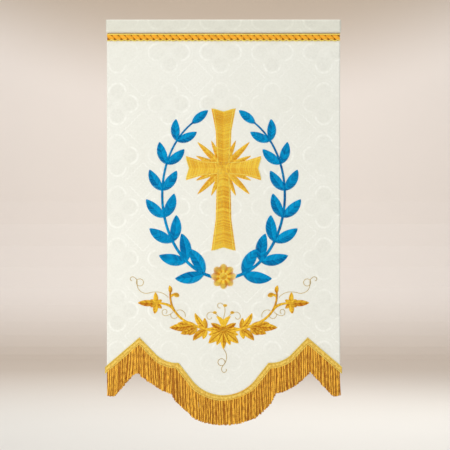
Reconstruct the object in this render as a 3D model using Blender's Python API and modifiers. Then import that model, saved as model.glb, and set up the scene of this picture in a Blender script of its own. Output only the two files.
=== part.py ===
# A hanging church banner: one panel of ivory brocade with a scalloped lower edge, a sleeve
# across its top for a flat batten or thin rod, a twisted gold braid under the sleeve, gold and
# blue embroidery laid on the cloth, and a gold bullion fringe sewn along the scallops.
# Metres, +Z up. The front of the banner faces -Y and X runs to the right across it.
# The origin is the middle of the sleeve's top edge, where the banner is held up.

import math
import random

import bmesh
import bpy
from mathutils import Matrix, Vector

# Driving sizes of the whole banner
BANNER_DROP = 1.218
CLOTH_WIDTH = 0.700
CLOTH_THICKNESS = 0.0020
SEWN_GAP = 0.0003

# Sleeve across the top, a strip of cloth folded over and sewn to both faces of the panel
SLEEVE_WIDTH = 0.704
SLEEVE_HEIGHT = 0.038
SLEEVE_HOLLOW = 0.0085
SLEEVE_CLOTH = 0.0016
SLEEVE_BEND = 0.0034
SLEEVE_BEND_STEPS = 4
SLEEVE_COLUMNS = 12
SLEEVE_TUCK = 0.0080
LIP_HEIGHT = 0.0022
LIP_TURN = 0.0010
LIP_FOOT = 0.0004

# Braid sewn across the panel under the sleeve
BRAID_WIDTH = 0.698
BRAID_HEIGHT = 0.0248
BRAID_TOP = -0.0392
BRAID_BASE = 0.0010
BRAID_RELIEF = 0.0011
BRAID_TWISTS = 38
BRAID_SLANT = 0.55
BRAID_LOBE_REACH = 0.38
BRAID_LOBE_FULLNESS = 2.2
BRAID_SELVEDGE = 0.45
BRAID_LEVELS = (0.0, 0.12, 0.32, 0.5, 0.68, 0.88, 1.0)
COLUMNS_PER_TWIST = 4

# Scalloped edge, as heights over the lowest point of the middle bowl
BOWL_RADIUS = 0.120
BOWL_ANGLE = math.radians(52)
SHOULDER_X = 0.1345
SHELF_HEIGHT = 0.0975
SHELF_START = 0.141
SHELF_RADIUS = 0.088
SHELF_ANGLE = math.radians(46)
PEAK_X = 0.2523
WING_SLOPE = -0.862
PANEL_COLUMNS = (5, 6, 7, 7, 6, 5)
PANEL_ROWS = 14

# Fringe: a woven heading tape along the scallops, with twisted strands hanging from it
TAPE_WIDTH = 0.016
TAPE_THICKNESS = 0.0024
TAPE_OVERHANG = 0.0055
CLOTH_UNDER_TAPE = 0.012
STRAND_COUNT = 200
STRAND_SHARE = 0.74
STRAND_TIP_SHARE = 0.62
STRAND_DEPTH = 0.0027
STRAND_LEAN = 0.0030
STRAND_LEAN_LENGTH = 0.150
STRAND_UNEVEN = 0.0020
FRINGE_DROP = 0.0915

# The line of the strands' lower ends, as heights over the bottom of the bowl
TIP_BOWL_RADIUS = BOWL_RADIUS + FRINGE_DROP
TIP_BOWL_REACH = 0.095
TIP_FLANK_SLOPE = 0.94
TIP_STEP_X = 0.1555
TIP_STEP_SLOPE = 1.9
TIP_SHELF_X = 0.152
TIP_SHELF_HEIGHT = 0.004
TIP_SHELF_RISE = 2.77
TIP_SHELF_POWER = 1.7
TIP_PEAK_HEIGHT = 0.0755
TIP_WING_SLOPE = -1.12
TIP_CORNER_HEIGHT = -0.004

# Soft waves of the free side and lower edges. Each starts at a distance from the middle or the
# top and grows to its full depth over the next stretch.
EDGE_WAVE = 0.0022
EDGE_WAVE_LENGTH = 0.42
EDGE_WAVE_SHIFT = 0.9
EDGE_WAVE_X = 0.23
EDGE_WAVE_GROWTH = 0.12
EDGE_WAVE_TOP = 0.12
EDGE_WAVE_FALL = 0.40
HEM_WAVE = 0.0024
HEM_WAVE_LENGTH = 0.32
HEM_WAVE_SHIFT = 0.6
HEM_WAVE_TOP = 0.88
HEM_WAVE_FALL = 0.22

# Embroidery, raised satin stitch laid on the cloth
STITCH_RAISE = 0.0012
STEM_RAISE = 0.0015
MOTIF_GAP = 0.0003
LEAF_LIFT = 0.0001
LEAF_STEPS = 6
LEAF_FULLNESS = 0.8
LEAF_BELLY = 0.85
DISC_STEPS = 16
OUTLINE_STEPS_PER_PETAL = 6
STEM_TAPER = 0.5

# Cross with rays between its arms
CROSS_CENTRE = -0.445
CROSS_ARMS = {"up": 0.178, "side": 0.112, "down": 0.246}
CROSS_BELLY = 0.0192
CROSS_BELLY_PLACE = 0.62
CROSS_END = 0.0300
CROSS_NOTCH = 0.009
CROSS_CORNER = 0.0165
RAYS = (
    {"angle": 24, "length": 0.090, "width": 0.0115},
    {"angle": 45, "length": 0.110, "width": 0.0140},
    {"angle": 66, "length": 0.090, "width": 0.0115},
)

# Laurel branches that rise round the cross
WREATH_CENTRE = -0.525
WREATH_HALF_WIDTH = 0.184
WREATH_HALF_HEIGHT = 0.250
WREATH_START = math.radians(-78)
WREATH_END = math.radians(60)
LEAF_PAIRS = 7
LEAF_LENGTH = 0.088
LEAF_WIDTH = 0.0285
LEAF_TURN = math.radians(34)
LEAF_BEND = math.radians(24)
LEAF_SHRINK = 0.30
STEM_WIDTH = 0.0062
STEM_STEPS = 26

# Rosette where the branches meet
ROSETTE_CENTRE = -0.770
ROSETTE_RADIUS = 0.033
ROSETTE_PETALS = 8
ROSETTE_WAIST = 0.80

# Garland under the wreath. Its right half is given, and the left half mirrors it.
# Angles are in degrees from +X, and a bend is how far a leaf turns on its way to its tip.
GARLAND_GAP = 0.0005
GARLAND_STEM = ((0.020, -0.930), (0.100, -0.918), (0.172, -0.868), (0.158, -0.790))
GARLAND_SHOOT = ((0.160, -0.846), (0.178, -0.841), (0.194, -0.841))
SHOOT_PLACE = 0.70
GARLAND_STEM_WIDTH = 0.0060
GARLAND_STEPS = 12
GARLAND_LEAVES = (
    {"along": 0.24, "angle": -1, "length": 0.083, "width": 0.021, "bend": 0},
    {"along": 0.24, "angle": 10, "length": 0.060, "width": 0.015, "bend": -10},
    {"along": 0.24, "angle": -23, "length": 0.054, "width": 0.017, "bend": 12},
    {"along": 0.24, "angle": -44, "length": 0.036, "width": 0.013, "bend": 10},
    {"along": 0.12, "angle": 53, "length": 0.058, "width": 0.014, "bend": 35},
    {"along": 0.12, "angle": 80, "length": 0.034, "width": 0.011, "bend": 20},
    {"along": 0.12, "angle": -40, "length": 0.053, "width": 0.016, "bend": -32},
    {"along": 0.12, "angle": -72, "length": 0.031, "width": 0.012, "bend": -15},
    {"along": 0.84, "angle": 160, "length": 0.024, "width": 0.009, "bend": 70},
    {"along": 0.96, "angle": 84, "length": 0.024, "width": 0.009, "bend": -35},
)
GARLAND_BUD = {"along": 0.84, "angle": 160, "reach": 0.022, "radius": 0.0038}
STAR_HEART = 0.0050
STAR_PETALS = (
    {"angle": 82, "length": 0.029, "width": 0.011, "bend": 0},
    {"angle": -80, "length": 0.030, "width": 0.011, "bend": 0},
    {"angle": 148, "length": 0.020, "width": 0.009, "bend": 0},
    {"angle": -146, "length": 0.022, "width": 0.009, "bend": 0},
    {"angle": 33, "length": 0.021, "width": 0.009, "bend": 0},
    {"angle": -31, "length": 0.020, "width": 0.009, "bend": 0},
    {"angle": 1, "length": 0.058, "width": 0.014, "bend": 0},
)

# Blossom in the middle of the garland, with one petal straight down and the rest in pairs
BLOSSOM_CENTRE = -0.930
BLOSSOM_HEART = 0.012
BLOSSOM_KEEL = {"angle": -90, "length": 0.058, "width": 0.015, "bend": 0}
BLOSSOM_PETALS = (
    {"angle": -66, "length": 0.050, "width": 0.014, "bend": 0},
    {"angle": -42, "length": 0.060, "width": 0.019, "bend": 0},
    {"angle": -19, "length": 0.047, "width": 0.014, "bend": 8},
    {"angle": 3, "length": 0.050, "width": 0.013, "bend": 12},
    {"angle": 28, "length": 0.042, "width": 0.013, "bend": 10},
    {"angle": 60, "length": 0.040, "width": 0.012, "bend": -50},
)

BOWL_BOTTOM = FRINGE_DROP - BANNER_DROP
PANEL_TOP = SLEEVE_TUCK - SLEEVE_HEIGHT
PANEL_BACK = SLEEVE_HOLLOW / 2 - SEWN_GAP
PANEL_FRONT = PANEL_BACK - CLOTH_THICKNESS

IVORY = (0.83, 0.80, 0.71)
GOLD = (0.78, 0.45, 0.05)
BLUE = (0.0, 0.24, 0.55)


def clear_scene():
    for old in list(bpy.data.objects):
        bpy.data.objects.remove(old, do_unlink=True)


def finish_named(name, colour, roughness, metallic):
    """A Principled material of one plain colour."""
    made = bpy.data.materials.new(name)
    made.use_nodes = True
    shader = made.node_tree.nodes["Principled BSDF"]
    shader.inputs["Base Color"].default_value = (*colour, 1.0)
    shader.inputs["Roughness"].default_value = roughness
    shader.inputs["Metallic"].default_value = metallic
    return made


def object_from(bm, name, collection, material):
    """A new object that holds the bmesh, with its faces pointing out."""
    bmesh.ops.recalc_face_normals(bm, faces=bm.faces)
    mesh = bpy.data.meshes.new(name)
    bm.to_mesh(mesh)
    bm.free()
    mesh.materials.append(material)
    made = bpy.data.objects.new(name, mesh)
    collection.objects.link(made)
    return made


def smooth_ramp(value):
    t = min(1.0, max(0.0, value))
    return t * t * (3 - 2 * t)


def drape(x, z):
    """How far the hanging cloth stands behind its own plane at a place on the banner."""
    side = smooth_ramp((abs(x) - EDGE_WAVE_X) / EDGE_WAVE_GROWTH)
    side *= smooth_ramp((-z - EDGE_WAVE_TOP) / EDGE_WAVE_FALL)
    side_shift = EDGE_WAVE_SHIFT if x > 0 else 0.0
    hem = smooth_ramp((-z - HEM_WAVE_TOP) / HEM_WAVE_FALL)
    return (
        side * EDGE_WAVE * math.sin(math.tau * z / EDGE_WAVE_LENGTH + side_shift)
        + hem * HEM_WAVE * math.sin(math.tau * x / HEM_WAVE_LENGTH + HEM_WAVE_SHIFT)
    )


def bowl_and_flank(across):
    """Height and slope of the middle bowl and of the straight flank that leaves it."""
    reach = BOWL_RADIUS * math.sin(BOWL_ANGLE)
    if across < reach:
        drop = math.sqrt(BOWL_RADIUS**2 - across**2)
        return BOWL_RADIUS - drop, across / drop
    height = BOWL_RADIUS * (1 - math.cos(BOWL_ANGLE))
    slope = math.tan(BOWL_ANGLE)
    return height + slope * (across - reach), slope


def shelf_and_rise(across):
    """Height and slope of the shelf beside the bowl and of its rise to the peak."""
    past = max(0.0, across - SHELF_START)
    reach = SHELF_RADIUS * math.sin(SHELF_ANGLE)
    if past < reach:
        drop = math.sqrt(SHELF_RADIUS**2 - past**2)
        return SHELF_HEIGHT + SHELF_RADIUS - drop, past / drop
    height = SHELF_HEIGHT + SHELF_RADIUS * (1 - math.cos(SHELF_ANGLE))
    slope = math.tan(SHELF_ANGLE)
    return height + slope * (past - reach), slope


def wing(across):
    """Height and slope of the straight outer edge, which falls from the peak to the corner."""
    peak_height, _ = shelf_and_rise(PEAK_X)
    return peak_height + WING_SLOPE * (across - PEAK_X), WING_SLOPE


def scallop(x, inset=0.0):
    """Z of the scalloped edge at x, or of a line that runs inset metres below it."""
    across = abs(x)
    lines = (bowl_and_flank(across), shelf_and_rise(across), wing(across))
    return BOWL_BOTTOM + min(height - inset * math.hypot(1, slope) for height, slope in lines)


def strand_tip(x):
    """Z of the strands' lower ends at x."""
    across = abs(x)
    arc = BOWL_RADIUS - math.sqrt(TIP_BOWL_RADIUS**2 - min(across, TIP_BOWL_REACH) ** 2)
    flank = arc + TIP_FLANK_SLOPE * max(0.0, across - TIP_BOWL_REACH)
    step = TIP_STEP_SLOPE * (across - TIP_STEP_X)
    past_shelf = max(0.0, across - TIP_SHELF_X)
    shelf = TIP_SHELF_HEIGHT + TIP_SHELF_RISE * past_shelf**TIP_SHELF_POWER
    outer = max(TIP_PEAK_HEIGHT + TIP_WING_SLOPE * (across - PEAK_X), TIP_CORNER_HEIGHT)
    return BOWL_BOTTOM + min(max(flank, step), shelf, outer)


def spread_between(marks, counts):
    """Places from the first mark to the last, with counts[i] even steps between marks i and i + 1."""
    places = [marks[0]]
    for low, high, count in zip(marks, marks[1:], counts):
        places += [low + (high - low) * step / count for step in range(1, count + 1)]
    return places


def mapped_grid(columns, rows, place):
    """A sheet of quads whose corner at column i and row j lies at place(i, j)."""
    bm = bmesh.new()
    bmesh.ops.create_grid(bm, x_segments=columns, y_segments=rows, size=1)
    for vertex in bm.verts:
        column = round((vertex.co.x + 1) / 2 * columns)
        row = round((vertex.co.y + 1) / 2 * rows)
        vertex.co = place(column, row)
    return bm


def build_panel(collection, material):
    """The cloth, cut to the scallops, hanging in soft waves at its free edges."""
    half = CLOTH_WIDTH / 2
    marks = [-half, -PEAK_X, -SHOULDER_X, 0.0, SHOULDER_X, PEAK_X, half]
    places = spread_between(marks, PANEL_COLUMNS)

    def place(column, row):
        x = places[column]
        bottom = scallop(x, CLOTH_UNDER_TAPE)
        z = bottom + (PANEL_TOP - bottom) * row / PANEL_ROWS
        return Vector((x, PANEL_BACK + drape(x, z), z))

    bm = mapped_grid(len(places) - 1, PANEL_ROWS, place)
    panel = object_from(bm, "panel", collection, material)
    if panel.data.polygons[0].normal.y > 0:
        panel.data.flip_normals()
    thicken = panel.modifiers.new("cloth", "SOLIDIFY")
    thicken.thickness = CLOTH_THICKNESS
    thicken.offset = 1.0
    thicken.use_even_offset = True
    return panel


def sleeve_section():
    """The sleeve's middle line in the Y-Z plane, from its lip at the panel's front face, forward
    and up the front wall, over the top and down the back wall."""
    wall = SLEEVE_CLOTH / 2
    front = -(SLEEVE_HOLLOW / 2 + wall)
    back = -front
    bottom = wall - SLEEVE_HEIGHT
    lip = PANEL_FRONT - SEWN_GAP - wall
    bend = SLEEVE_BEND

    def corner(centre_y, centre_z, start, end):
        shares = (step / SLEEVE_BEND_STEPS for step in range(SLEEVE_BEND_STEPS + 1))
        turn = (math.radians(start + (end - start) * share) for share in shares)
        return [(centre_y + bend * math.cos(a), centre_z + bend * math.sin(a)) for a in turn]

    section = [(lip, bottom + LIP_HEIGHT), (lip - LIP_TURN, bottom + LIP_FOOT)]
    section += corner(front + bend, bottom + bend, 270, 180)
    section += corner(front + bend, -wall - bend, 180, 90)
    section += corner(back - bend, -wall - bend, 90, 0)
    section.append((back, bottom))
    return section


def build_sleeve(collection, material):
    """A bent strip, open at both ends and closed below by the panel that it is sewn to."""
    section = sleeve_section()

    def place(column, row):
        y, z = section[row]
        return Vector((SLEEVE_WIDTH * (column / SLEEVE_COLUMNS - 0.5), y, z))

    bm = mapped_grid(SLEEVE_COLUMNS, len(section) - 1, place)
    sleeve = object_from(bm, "sleeve", collection, material)
    thicken = sleeve.modifiers.new("cloth", "SOLIDIFY")
    thicken.thickness = SLEEVE_CLOTH
    thicken.offset = 0.0
    thicken.use_even_offset = True
    return sleeve


def braid_height(along, up):
    """Height of the braid's face over its base, for a place along it in twists and 0 to 1 up it."""
    lobe = max(0.0, 1 - abs(up - 0.5) / BRAID_LOBE_REACH)
    twist = abs(math.sin(math.pi * (along + BRAID_SLANT * (up - 0.5))))
    selvedge = BRAID_SELVEDGE if up in (BRAID_LEVELS[0], BRAID_LEVELS[-1]) else 0.0
    return BRAID_RELIEF * max(selvedge, twist * min(1.0, BRAID_LOBE_FULLNESS * lobe))


def build_braid(collection, material):
    """A flat-backed strip whose face rises in slanting twists between two thin edge cords."""
    columns = BRAID_TWISTS * COLUMNS_PER_TWIST
    back = PANEL_FRONT - SEWN_GAP

    def place(column, row):
        up = BRAID_LEVELS[row]
        raised = BRAID_BASE + braid_height(column / COLUMNS_PER_TWIST, up)
        x = BRAID_WIDTH * (column / columns - 0.5)
        return Vector((x, back - raised, BRAID_TOP - BRAID_HEIGHT * (1 - up)))

    bm = mapped_grid(columns, len(BRAID_LEVELS) - 1, place)
    pulled = bmesh.ops.extrude_face_region(bm, geom=bm.faces[:])
    for item in pulled["geom"]:
        if isinstance(item, bmesh.types.BMVert):
            item.co.y = back
    flat = [face for face in bm.faces if all(abs(v.co.y - back) < 1e-6 for v in face.verts)]
    edges = {edge for face in flat for edge in face.edges}
    bmesh.ops.dissolve_limit(bm, angle_limit=0.001, verts=[], edges=list(edges))
    return object_from(bm, "braid", collection, material)


def strand_lean(x):
    """How far a strand's lower end swings sideways of its root."""
    return STRAND_LEAN * math.sin(math.tau * x / STRAND_LEAN_LENGTH)


def build_fringe(collection, material):
    """The heading tape, with each strand drawn down out of the tape's lower edge."""
    uneven = random.Random(7)
    pitch = CLOTH_WIDTH / STRAND_COUNT
    half_strand = pitch * STRAND_SHARE / 2
    end = CLOTH_WIDTH / 2 + TAPE_OVERHANG
    middles = [pitch * (strand + 0.5) - CLOTH_WIDTH / 2 for strand in range(STRAND_COUNT)]
    places = [-end]
    for middle in middles:
        places += [middle - half_strand, middle + half_strand]
    places.append(end)
    tape_back = PANEL_FRONT - SEWN_GAP

    def place(column, row):
        x = places[column]
        z = scallop(x) if row else scallop(x, TAPE_WIDTH)
        return Vector((x, tape_back + drape(x, z), z))

    bm = mapped_grid(len(places) - 1, 1, place)
    pulled = bmesh.ops.extrude_face_region(bm, geom=bm.faces[:])
    for item in pulled["geom"]:
        if isinstance(item, bmesh.types.BMVert):
            item.co.y -= TAPE_THICKNESS
    bmesh.ops.recalc_face_normals(bm, faces=bm.faces)

    def is_root(face):
        low = all(v.co.z < scallop(v.co.x, TAPE_WIDTH) + 1e-5 for v in face.verts)
        wide = abs(face.verts[0].co.x - face.verts[2].co.x) > pitch / 2
        return low and wide and abs(face.calc_center_median().x) < CLOTH_WIDTH / 2

    ends = sorted((face for face in bm.faces if is_root(face)), key=lambda f: f.calc_center_median().x)
    roots = [face.calc_center_median().copy() for face in ends]
    for share, width_share in ((0.5, 1.0), (1.0, STRAND_TIP_SHARE / STRAND_SHARE)):
        drawn = bmesh.ops.extrude_discrete_faces(bm, faces=ends)["faces"]
        ends = sorted(drawn, key=lambda f: f.calc_center_median().x)
        for face, root in zip(ends, roots):
            tip = strand_tip(root.x) + uneven.uniform(0, STRAND_UNEVEN) * share
            level = root.z + (tip - root.z) * share
            middle = root.x + strand_lean(root.x) * share**2
            front = min(v.co.y for v in face.verts)
            for vertex in face.verts:
                side = math.copysign(half_strand * width_share, vertex.co.x - face.calc_center_median().x)
                vertex.co.y += STRAND_DEPTH - TAPE_THICKNESS if vertex.co.y > front + 1e-4 else 0.0
                vertex.co = Vector((middle + side, vertex.co.y, level))
    return object_from(bm, "fringe", collection, material)


def flat_shape(outline, thickness, gap, name, collection, material):
    """A raised shape lying flat on the front of the cloth, from its outline in X and Z."""
    curve = bpy.data.curves.new(name, "CURVE")
    curve.dimensions = "2D"
    curve.fill_mode = "BOTH"
    curve.extrude = thickness / 2
    spline = curve.splines.new("POLY")
    spline.points.add(len(outline) - 1)
    for point, (x, z) in zip(spline.points, outline):
        point.co = (x, z, 0.0, 1.0)
    spline.use_cyclic_u = True
    curve.materials.append(material)
    made = bpy.data.objects.new(name, curve)
    made.rotation_euler.x = math.radians(90)
    made.location.y = PANEL_FRONT - gap - thickness / 2
    collection.objects.link(made)
    return made


def as_mesh(flat, graph, collection):
    """The curve's shape as a mesh object in the same place, with its caps welded to its sides."""
    mesh = bpy.data.meshes.new_from_object(flat.evaluated_get(graph))
    bm = bmesh.new()
    bm.from_mesh(mesh)
    bmesh.ops.remove_doubles(bm, verts=bm.verts, dist=1e-6)
    bmesh.ops.recalc_face_normals(bm, faces=bm.faces)
    bm.to_mesh(mesh)
    bm.free()
    made = bpy.data.objects.new(flat.name + "_mesh", mesh)
    made.matrix_world = flat.matrix_world
    collection.objects.link(made)
    return made


def united(name, flats, collection):
    """One mesh object of flat shapes that overlap, all joined by one union."""
    bpy.context.view_layer.update()
    graph = bpy.context.evaluated_depsgraph_get()
    joining = bpy.data.collections.new(name + "_joining")
    bpy.context.scene.collection.children.link(joining)
    target = as_mesh(flats[0], graph, collection)
    others = [as_mesh(flat, graph, joining) for flat in flats[1:]]
    for flat in flats:
        bpy.data.objects.remove(flat, do_unlink=True)
    target.name = name
    join = target.modifiers.new("join", "BOOLEAN")
    join.operation = "UNION"
    join.operand_type = "COLLECTION"
    join.collection = joining
    bpy.context.view_layer.update()
    graph = bpy.context.evaluated_depsgraph_get()
    joined = bpy.data.meshes.new_from_object(target.evaluated_get(graph))
    target.modifiers.clear()
    target.data = joined
    for other in others:
        bpy.data.objects.remove(other, do_unlink=True)
    bpy.data.collections.remove(joining)
    return target


def turned(points, angle, centre_x, centre_z):
    """Points in a plane, turned about their origin and moved to a centre."""
    turn = Matrix.Rotation(angle, 2)
    return [tuple(turn @ Vector(point) + Vector((centre_x, centre_z))) for point in points]


def polar(angle, length):
    return length * math.cos(angle), length * math.sin(angle)


def disc(centre, radius):
    """A round outline."""
    rim = [polar(math.tau * step / DISC_STEPS, radius) for step in range(DISC_STEPS)]
    return turned(rim, 0.0, *centre)


def cross_outline():
    """A cross whose arms flare from their root to hollowed ends."""
    outline = []
    for quarter, arm in enumerate(("side", "up", "side", "down")):
        reach = CROSS_ARMS[arm]
        belly = reach * CROSS_BELLY_PLACE
        points = [
            (belly, -CROSS_BELLY),
            (reach, -CROSS_END),
            (reach - CROSS_NOTCH, 0.0),
            (reach, CROSS_END),
            (belly, CROSS_BELLY),
            (CROSS_CORNER, CROSS_CORNER),
        ]
        outline += turned(points, quarter * math.pi / 2, 0.0, CROSS_CENTRE)
    return outline


def ribbon_outline(points, half_widths):
    """The outline of a band that follows points, with a half width at each, pointed where it is 0."""
    left = []
    right = []
    for index, (x, z) in enumerate(points):
        before = points[max(0, index - 1)]
        after = points[min(len(points) - 1, index + 1)]
        along = Vector((after[0] - before[0], after[1] - before[1])).normalized()
        half = half_widths[index]
        left.append((x - along.y * half, z + along.x * half))
        if half > 0:
            right.append((x + along.y * half, z - along.x * half))
    return left + right[::-1]


def leaf_outline(root, angle, length, width, bend=0.0):
    """A pointed leaf that grows from its root at an angle, its midrib bending by the given turn."""
    x, z = root
    spine = [(x, z)]
    for step in range(LEAF_STEPS):
        heading = angle + bend * ((step + 0.5) / LEAF_STEPS - 0.5)
        x += length / LEAF_STEPS * math.cos(heading)
        z += length / LEAF_STEPS * math.sin(heading)
        spine.append((x, z))
    halves = [
        width / 2 * math.sin(math.pi * (step / LEAF_STEPS) ** LEAF_BELLY) ** LEAF_FULLNESS
        for step in range(LEAF_STEPS)
    ]
    return ribbon_outline(spine, halves + [0.0])


def build_cross(collection, material):
    """The cross, with three rays that come out from behind it in each corner."""
    pieces = [flat_shape(cross_outline(), STEM_RAISE, MOTIF_GAP, "arms", collection, material)]
    for quarter in range(4):
        for ray in RAYS:
            angle = math.radians(90 * quarter + ray["angle"])
            outline = leaf_outline((0.0, CROSS_CENTRE), angle, ray["length"], ray["width"])
            pieces.append(
                flat_shape(outline, STITCH_RAISE, MOTIF_GAP + LEAF_LIFT, "ray", collection, material)
            )
    return united("cross", pieces, collection)


def tapering(width, count):
    """Half widths of a stem that narrows from its root to its tip."""
    return [width / 2 * (1 - STEM_TAPER * step / (count - 1)) for step in range(count)]


def wreath_point(angle, side):
    """A place on the wreath's oval, and the direction in which the branch grows there."""
    place = (
        side * WREATH_HALF_WIDTH * math.cos(angle),
        WREATH_CENTRE + WREATH_HALF_HEIGHT * math.sin(angle),
    )
    growth = math.atan2(
        WREATH_HALF_HEIGHT * math.cos(angle),
        -side * WREATH_HALF_WIDTH * math.sin(angle),
    )
    return place, growth


def build_laurel(name, side, collection, material):
    """One branch: a tapering stem with leaves in pairs, and one leaf at its tip."""
    reach = WREATH_END - WREATH_START
    angles = [WREATH_START + reach * step / STEM_STEPS for step in range(STEM_STEPS + 1)]
    path = [wreath_point(angle, side)[0] for angle in angles]
    outline = ribbon_outline(path, tapering(STEM_WIDTH, len(path)))
    pieces = [flat_shape(outline, STEM_RAISE, MOTIF_GAP, "stem", collection, material)]
    for pair in range(LEAF_PAIRS + 1):
        root, growth = wreath_point(WREATH_START + reach * (pair + 0.35) / (LEAF_PAIRS + 0.4), side)
        size = 1 - LEAF_SHRINK * pair / LEAF_PAIRS
        for turn in (1, -1) if pair < LEAF_PAIRS else (0,):
            outline = leaf_outline(
                root, growth + turn * LEAF_TURN, LEAF_LENGTH * size, LEAF_WIDTH * size, -turn * LEAF_BEND
            )
            pieces.append(
                flat_shape(outline, STITCH_RAISE, MOTIF_GAP + LEAF_LIFT, "leaf", collection, material)
            )
    return united(name, pieces, collection)


def build_rosette(collection, material):
    """A round flower with a rim of petals, where the two stems meet."""
    points = ROSETTE_PETALS * OUTLINE_STEPS_PER_PETAL
    outline = []
    for step in range(points):
        angle = math.tau * step / points
        lobe = abs(math.cos(ROSETTE_PETALS / 2 * angle))
        outline.append(polar(angle, ROSETTE_RADIUS * (ROSETTE_WAIST + (1 - ROSETTE_WAIST) * lobe)))
    outline = turned(outline, 0.0, 0.0, ROSETTE_CENTRE)
    return flat_shape(outline, STEM_RAISE, MOTIF_GAP, "rosette", collection, material)


def bezier(ends, t):
    """The place at t along a cubic curve in X and Z."""
    first, second, third, last = (Vector(end) for end in ends)
    u = 1 - t
    place = first * u**3 + second * 3 * u * u * t + third * 3 * u * t * t + last * t**3
    return tuple(place)


def stem_outline(ends, width):
    """A tapering band along a cubic curve."""
    path = [bezier(ends, step / GARLAND_STEPS) for step in range(GARLAND_STEPS + 1)]
    return ribbon_outline(path, tapering(width, len(path)))


def leaf_from(root, row):
    """The outline of a leaf or petal that a table row describes."""
    angle = math.radians(row["angle"])
    return leaf_outline(root, angle, row["length"], row["width"], math.radians(row["bend"]))


def garland_half():
    """The right half as two lists of outlines: stems, bud and star flower's heart, then the leaves."""
    shoot = (bezier(GARLAND_STEM, SHOOT_PLACE), *GARLAND_SHOOT)
    star = GARLAND_SHOOT[-1]
    bud = bezier(GARLAND_STEM, GARLAND_BUD["along"])
    aside = polar(math.radians(GARLAND_BUD["angle"]), GARLAND_BUD["reach"])
    stems = [stem_outline(GARLAND_STEM, GARLAND_STEM_WIDTH), stem_outline(shoot, GARLAND_STEM_WIDTH)]
    stems.append(disc(star, STAR_HEART))
    stems.append(disc((bud[0] + aside[0], bud[1] + aside[1]), GARLAND_BUD["radius"]))
    leaves = [leaf_from(bezier(GARLAND_STEM, row["along"]), row) for row in GARLAND_LEAVES]
    leaves += [leaf_from(star, row) for row in STAR_PETALS]
    leaves += [leaf_from((0.0, BLOSSOM_CENTRE), row) for row in BLOSSOM_PETALS]
    return stems, leaves


def build_garland(collection, material):
    """A swag of leaves on both sides of one blossom, laid on the soft waves of the cloth.
    Stems and hearts stand a little higher than the leaves that grow out of them."""
    stems, leaves = garland_half()
    cores = [disc((0.0, BLOSSOM_CENTRE), BLOSSOM_HEART)]
    blades = [leaf_from((0.0, BLOSSOM_CENTRE), BLOSSOM_KEEL)]
    for side in (1, -1):
        cores += [[(side * x, z) for x, z in outline] for outline in stems]
        blades += [[(side * x, z) for x, z in outline] for outline in leaves]
    pieces = [flat_shape(core, STEM_RAISE, GARLAND_GAP, "core", collection, material) for core in cores]
    for blade in blades:
        pieces.append(
            flat_shape(blade, STITCH_RAISE, GARLAND_GAP + LEAF_LIFT, "blade", collection, material)
        )
    garland = united("garland", pieces, collection)
    garland.data.transform(garland.matrix_world)
    garland.matrix_world = Matrix.Identity(4)
    for vertex in garland.data.vertices:
        vertex.co.y += drape(vertex.co.x, vertex.co.z)
    return garland


def main():
    clear_scene()
    banner = bpy.data.collections.new("church_banner")
    bpy.context.scene.collection.children.link(banner)
    brocade = finish_named("ivory_brocade", IVORY, 0.62, 0.0)
    gold_trim = finish_named("gold_trim", GOLD, 0.48, 0.25)
    gold_thread = finish_named("gold_thread", GOLD, 0.42, 0.30)
    blue_thread = finish_named("blue_thread", BLUE, 0.45, 0.0)
    build_panel(banner, brocade)
    build_sleeve(banner, brocade)
    build_braid(banner, gold_trim)
    build_fringe(banner, gold_trim)
    build_cross(banner, gold_thread)
    build_laurel("laurel_left", -1, banner, blue_thread)
    build_laurel("laurel_right", 1, banner, blue_thread)
    build_rosette(banner, gold_thread)
    build_garland(banner, gold_thread)


main()
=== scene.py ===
import math
import random

import bmesh
import bpy
from mathutils import Matrix, Vector


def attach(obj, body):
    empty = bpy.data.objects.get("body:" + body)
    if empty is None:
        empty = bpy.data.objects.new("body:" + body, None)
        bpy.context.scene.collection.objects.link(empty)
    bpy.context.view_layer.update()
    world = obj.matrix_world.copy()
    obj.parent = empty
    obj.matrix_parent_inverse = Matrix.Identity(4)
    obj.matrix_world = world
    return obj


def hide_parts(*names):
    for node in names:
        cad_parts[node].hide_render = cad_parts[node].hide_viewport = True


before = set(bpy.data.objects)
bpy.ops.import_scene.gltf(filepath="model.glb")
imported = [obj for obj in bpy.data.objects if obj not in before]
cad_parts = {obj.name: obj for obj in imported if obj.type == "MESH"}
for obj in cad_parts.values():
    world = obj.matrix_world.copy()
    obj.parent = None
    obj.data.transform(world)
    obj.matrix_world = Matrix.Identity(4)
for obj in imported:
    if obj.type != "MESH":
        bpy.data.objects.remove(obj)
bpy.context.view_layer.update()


# The studio. A pale floor sweeps up into a backdrop far behind the banner, with painted shade in its bend
# and at its top, and soft lights stand to the left, the right and behind. The camera looks straight at the middle of
# the banner.
VIEW_CENTRE = Vector((0.0045, 0.0, -0.6156))
VIEW_WIDTH = 1.35
VIEW_DISTANCE = 4.0
SENSOR = 36.0
FLOOR_LEVEL = -1.62
SWEEP_START = 6.0
SWEEP_RADIUS = 1.2
SWEEP_TOP = 3.2
SWEEP_HALF_WIDTH = 7.0
ROOM_LIGHT = (0.98, 1.0, 1.03)


def add(tree, kind, sockets=None, **settings):
    """A node with its settings, and with a value or a link on each socket that is named or counted."""
    node = tree.nodes.new(kind)
    for setting, value in settings.items():
        setattr(node, setting, value)
    for key, value in (sockets or {}).items():
        if isinstance(value, bpy.types.NodeSocket):
            tree.links.new(value, node.inputs[key])
        else:
            node.inputs[key].default_value = value
    return node


def new_material(name):
    """A node material with only its Principled shader and output: itself, its tree and the shader."""
    material = bpy.data.materials.new(name)
    material.use_nodes = True
    return material, material.node_tree, material.node_tree.nodes["Principled BSDF"]


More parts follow.
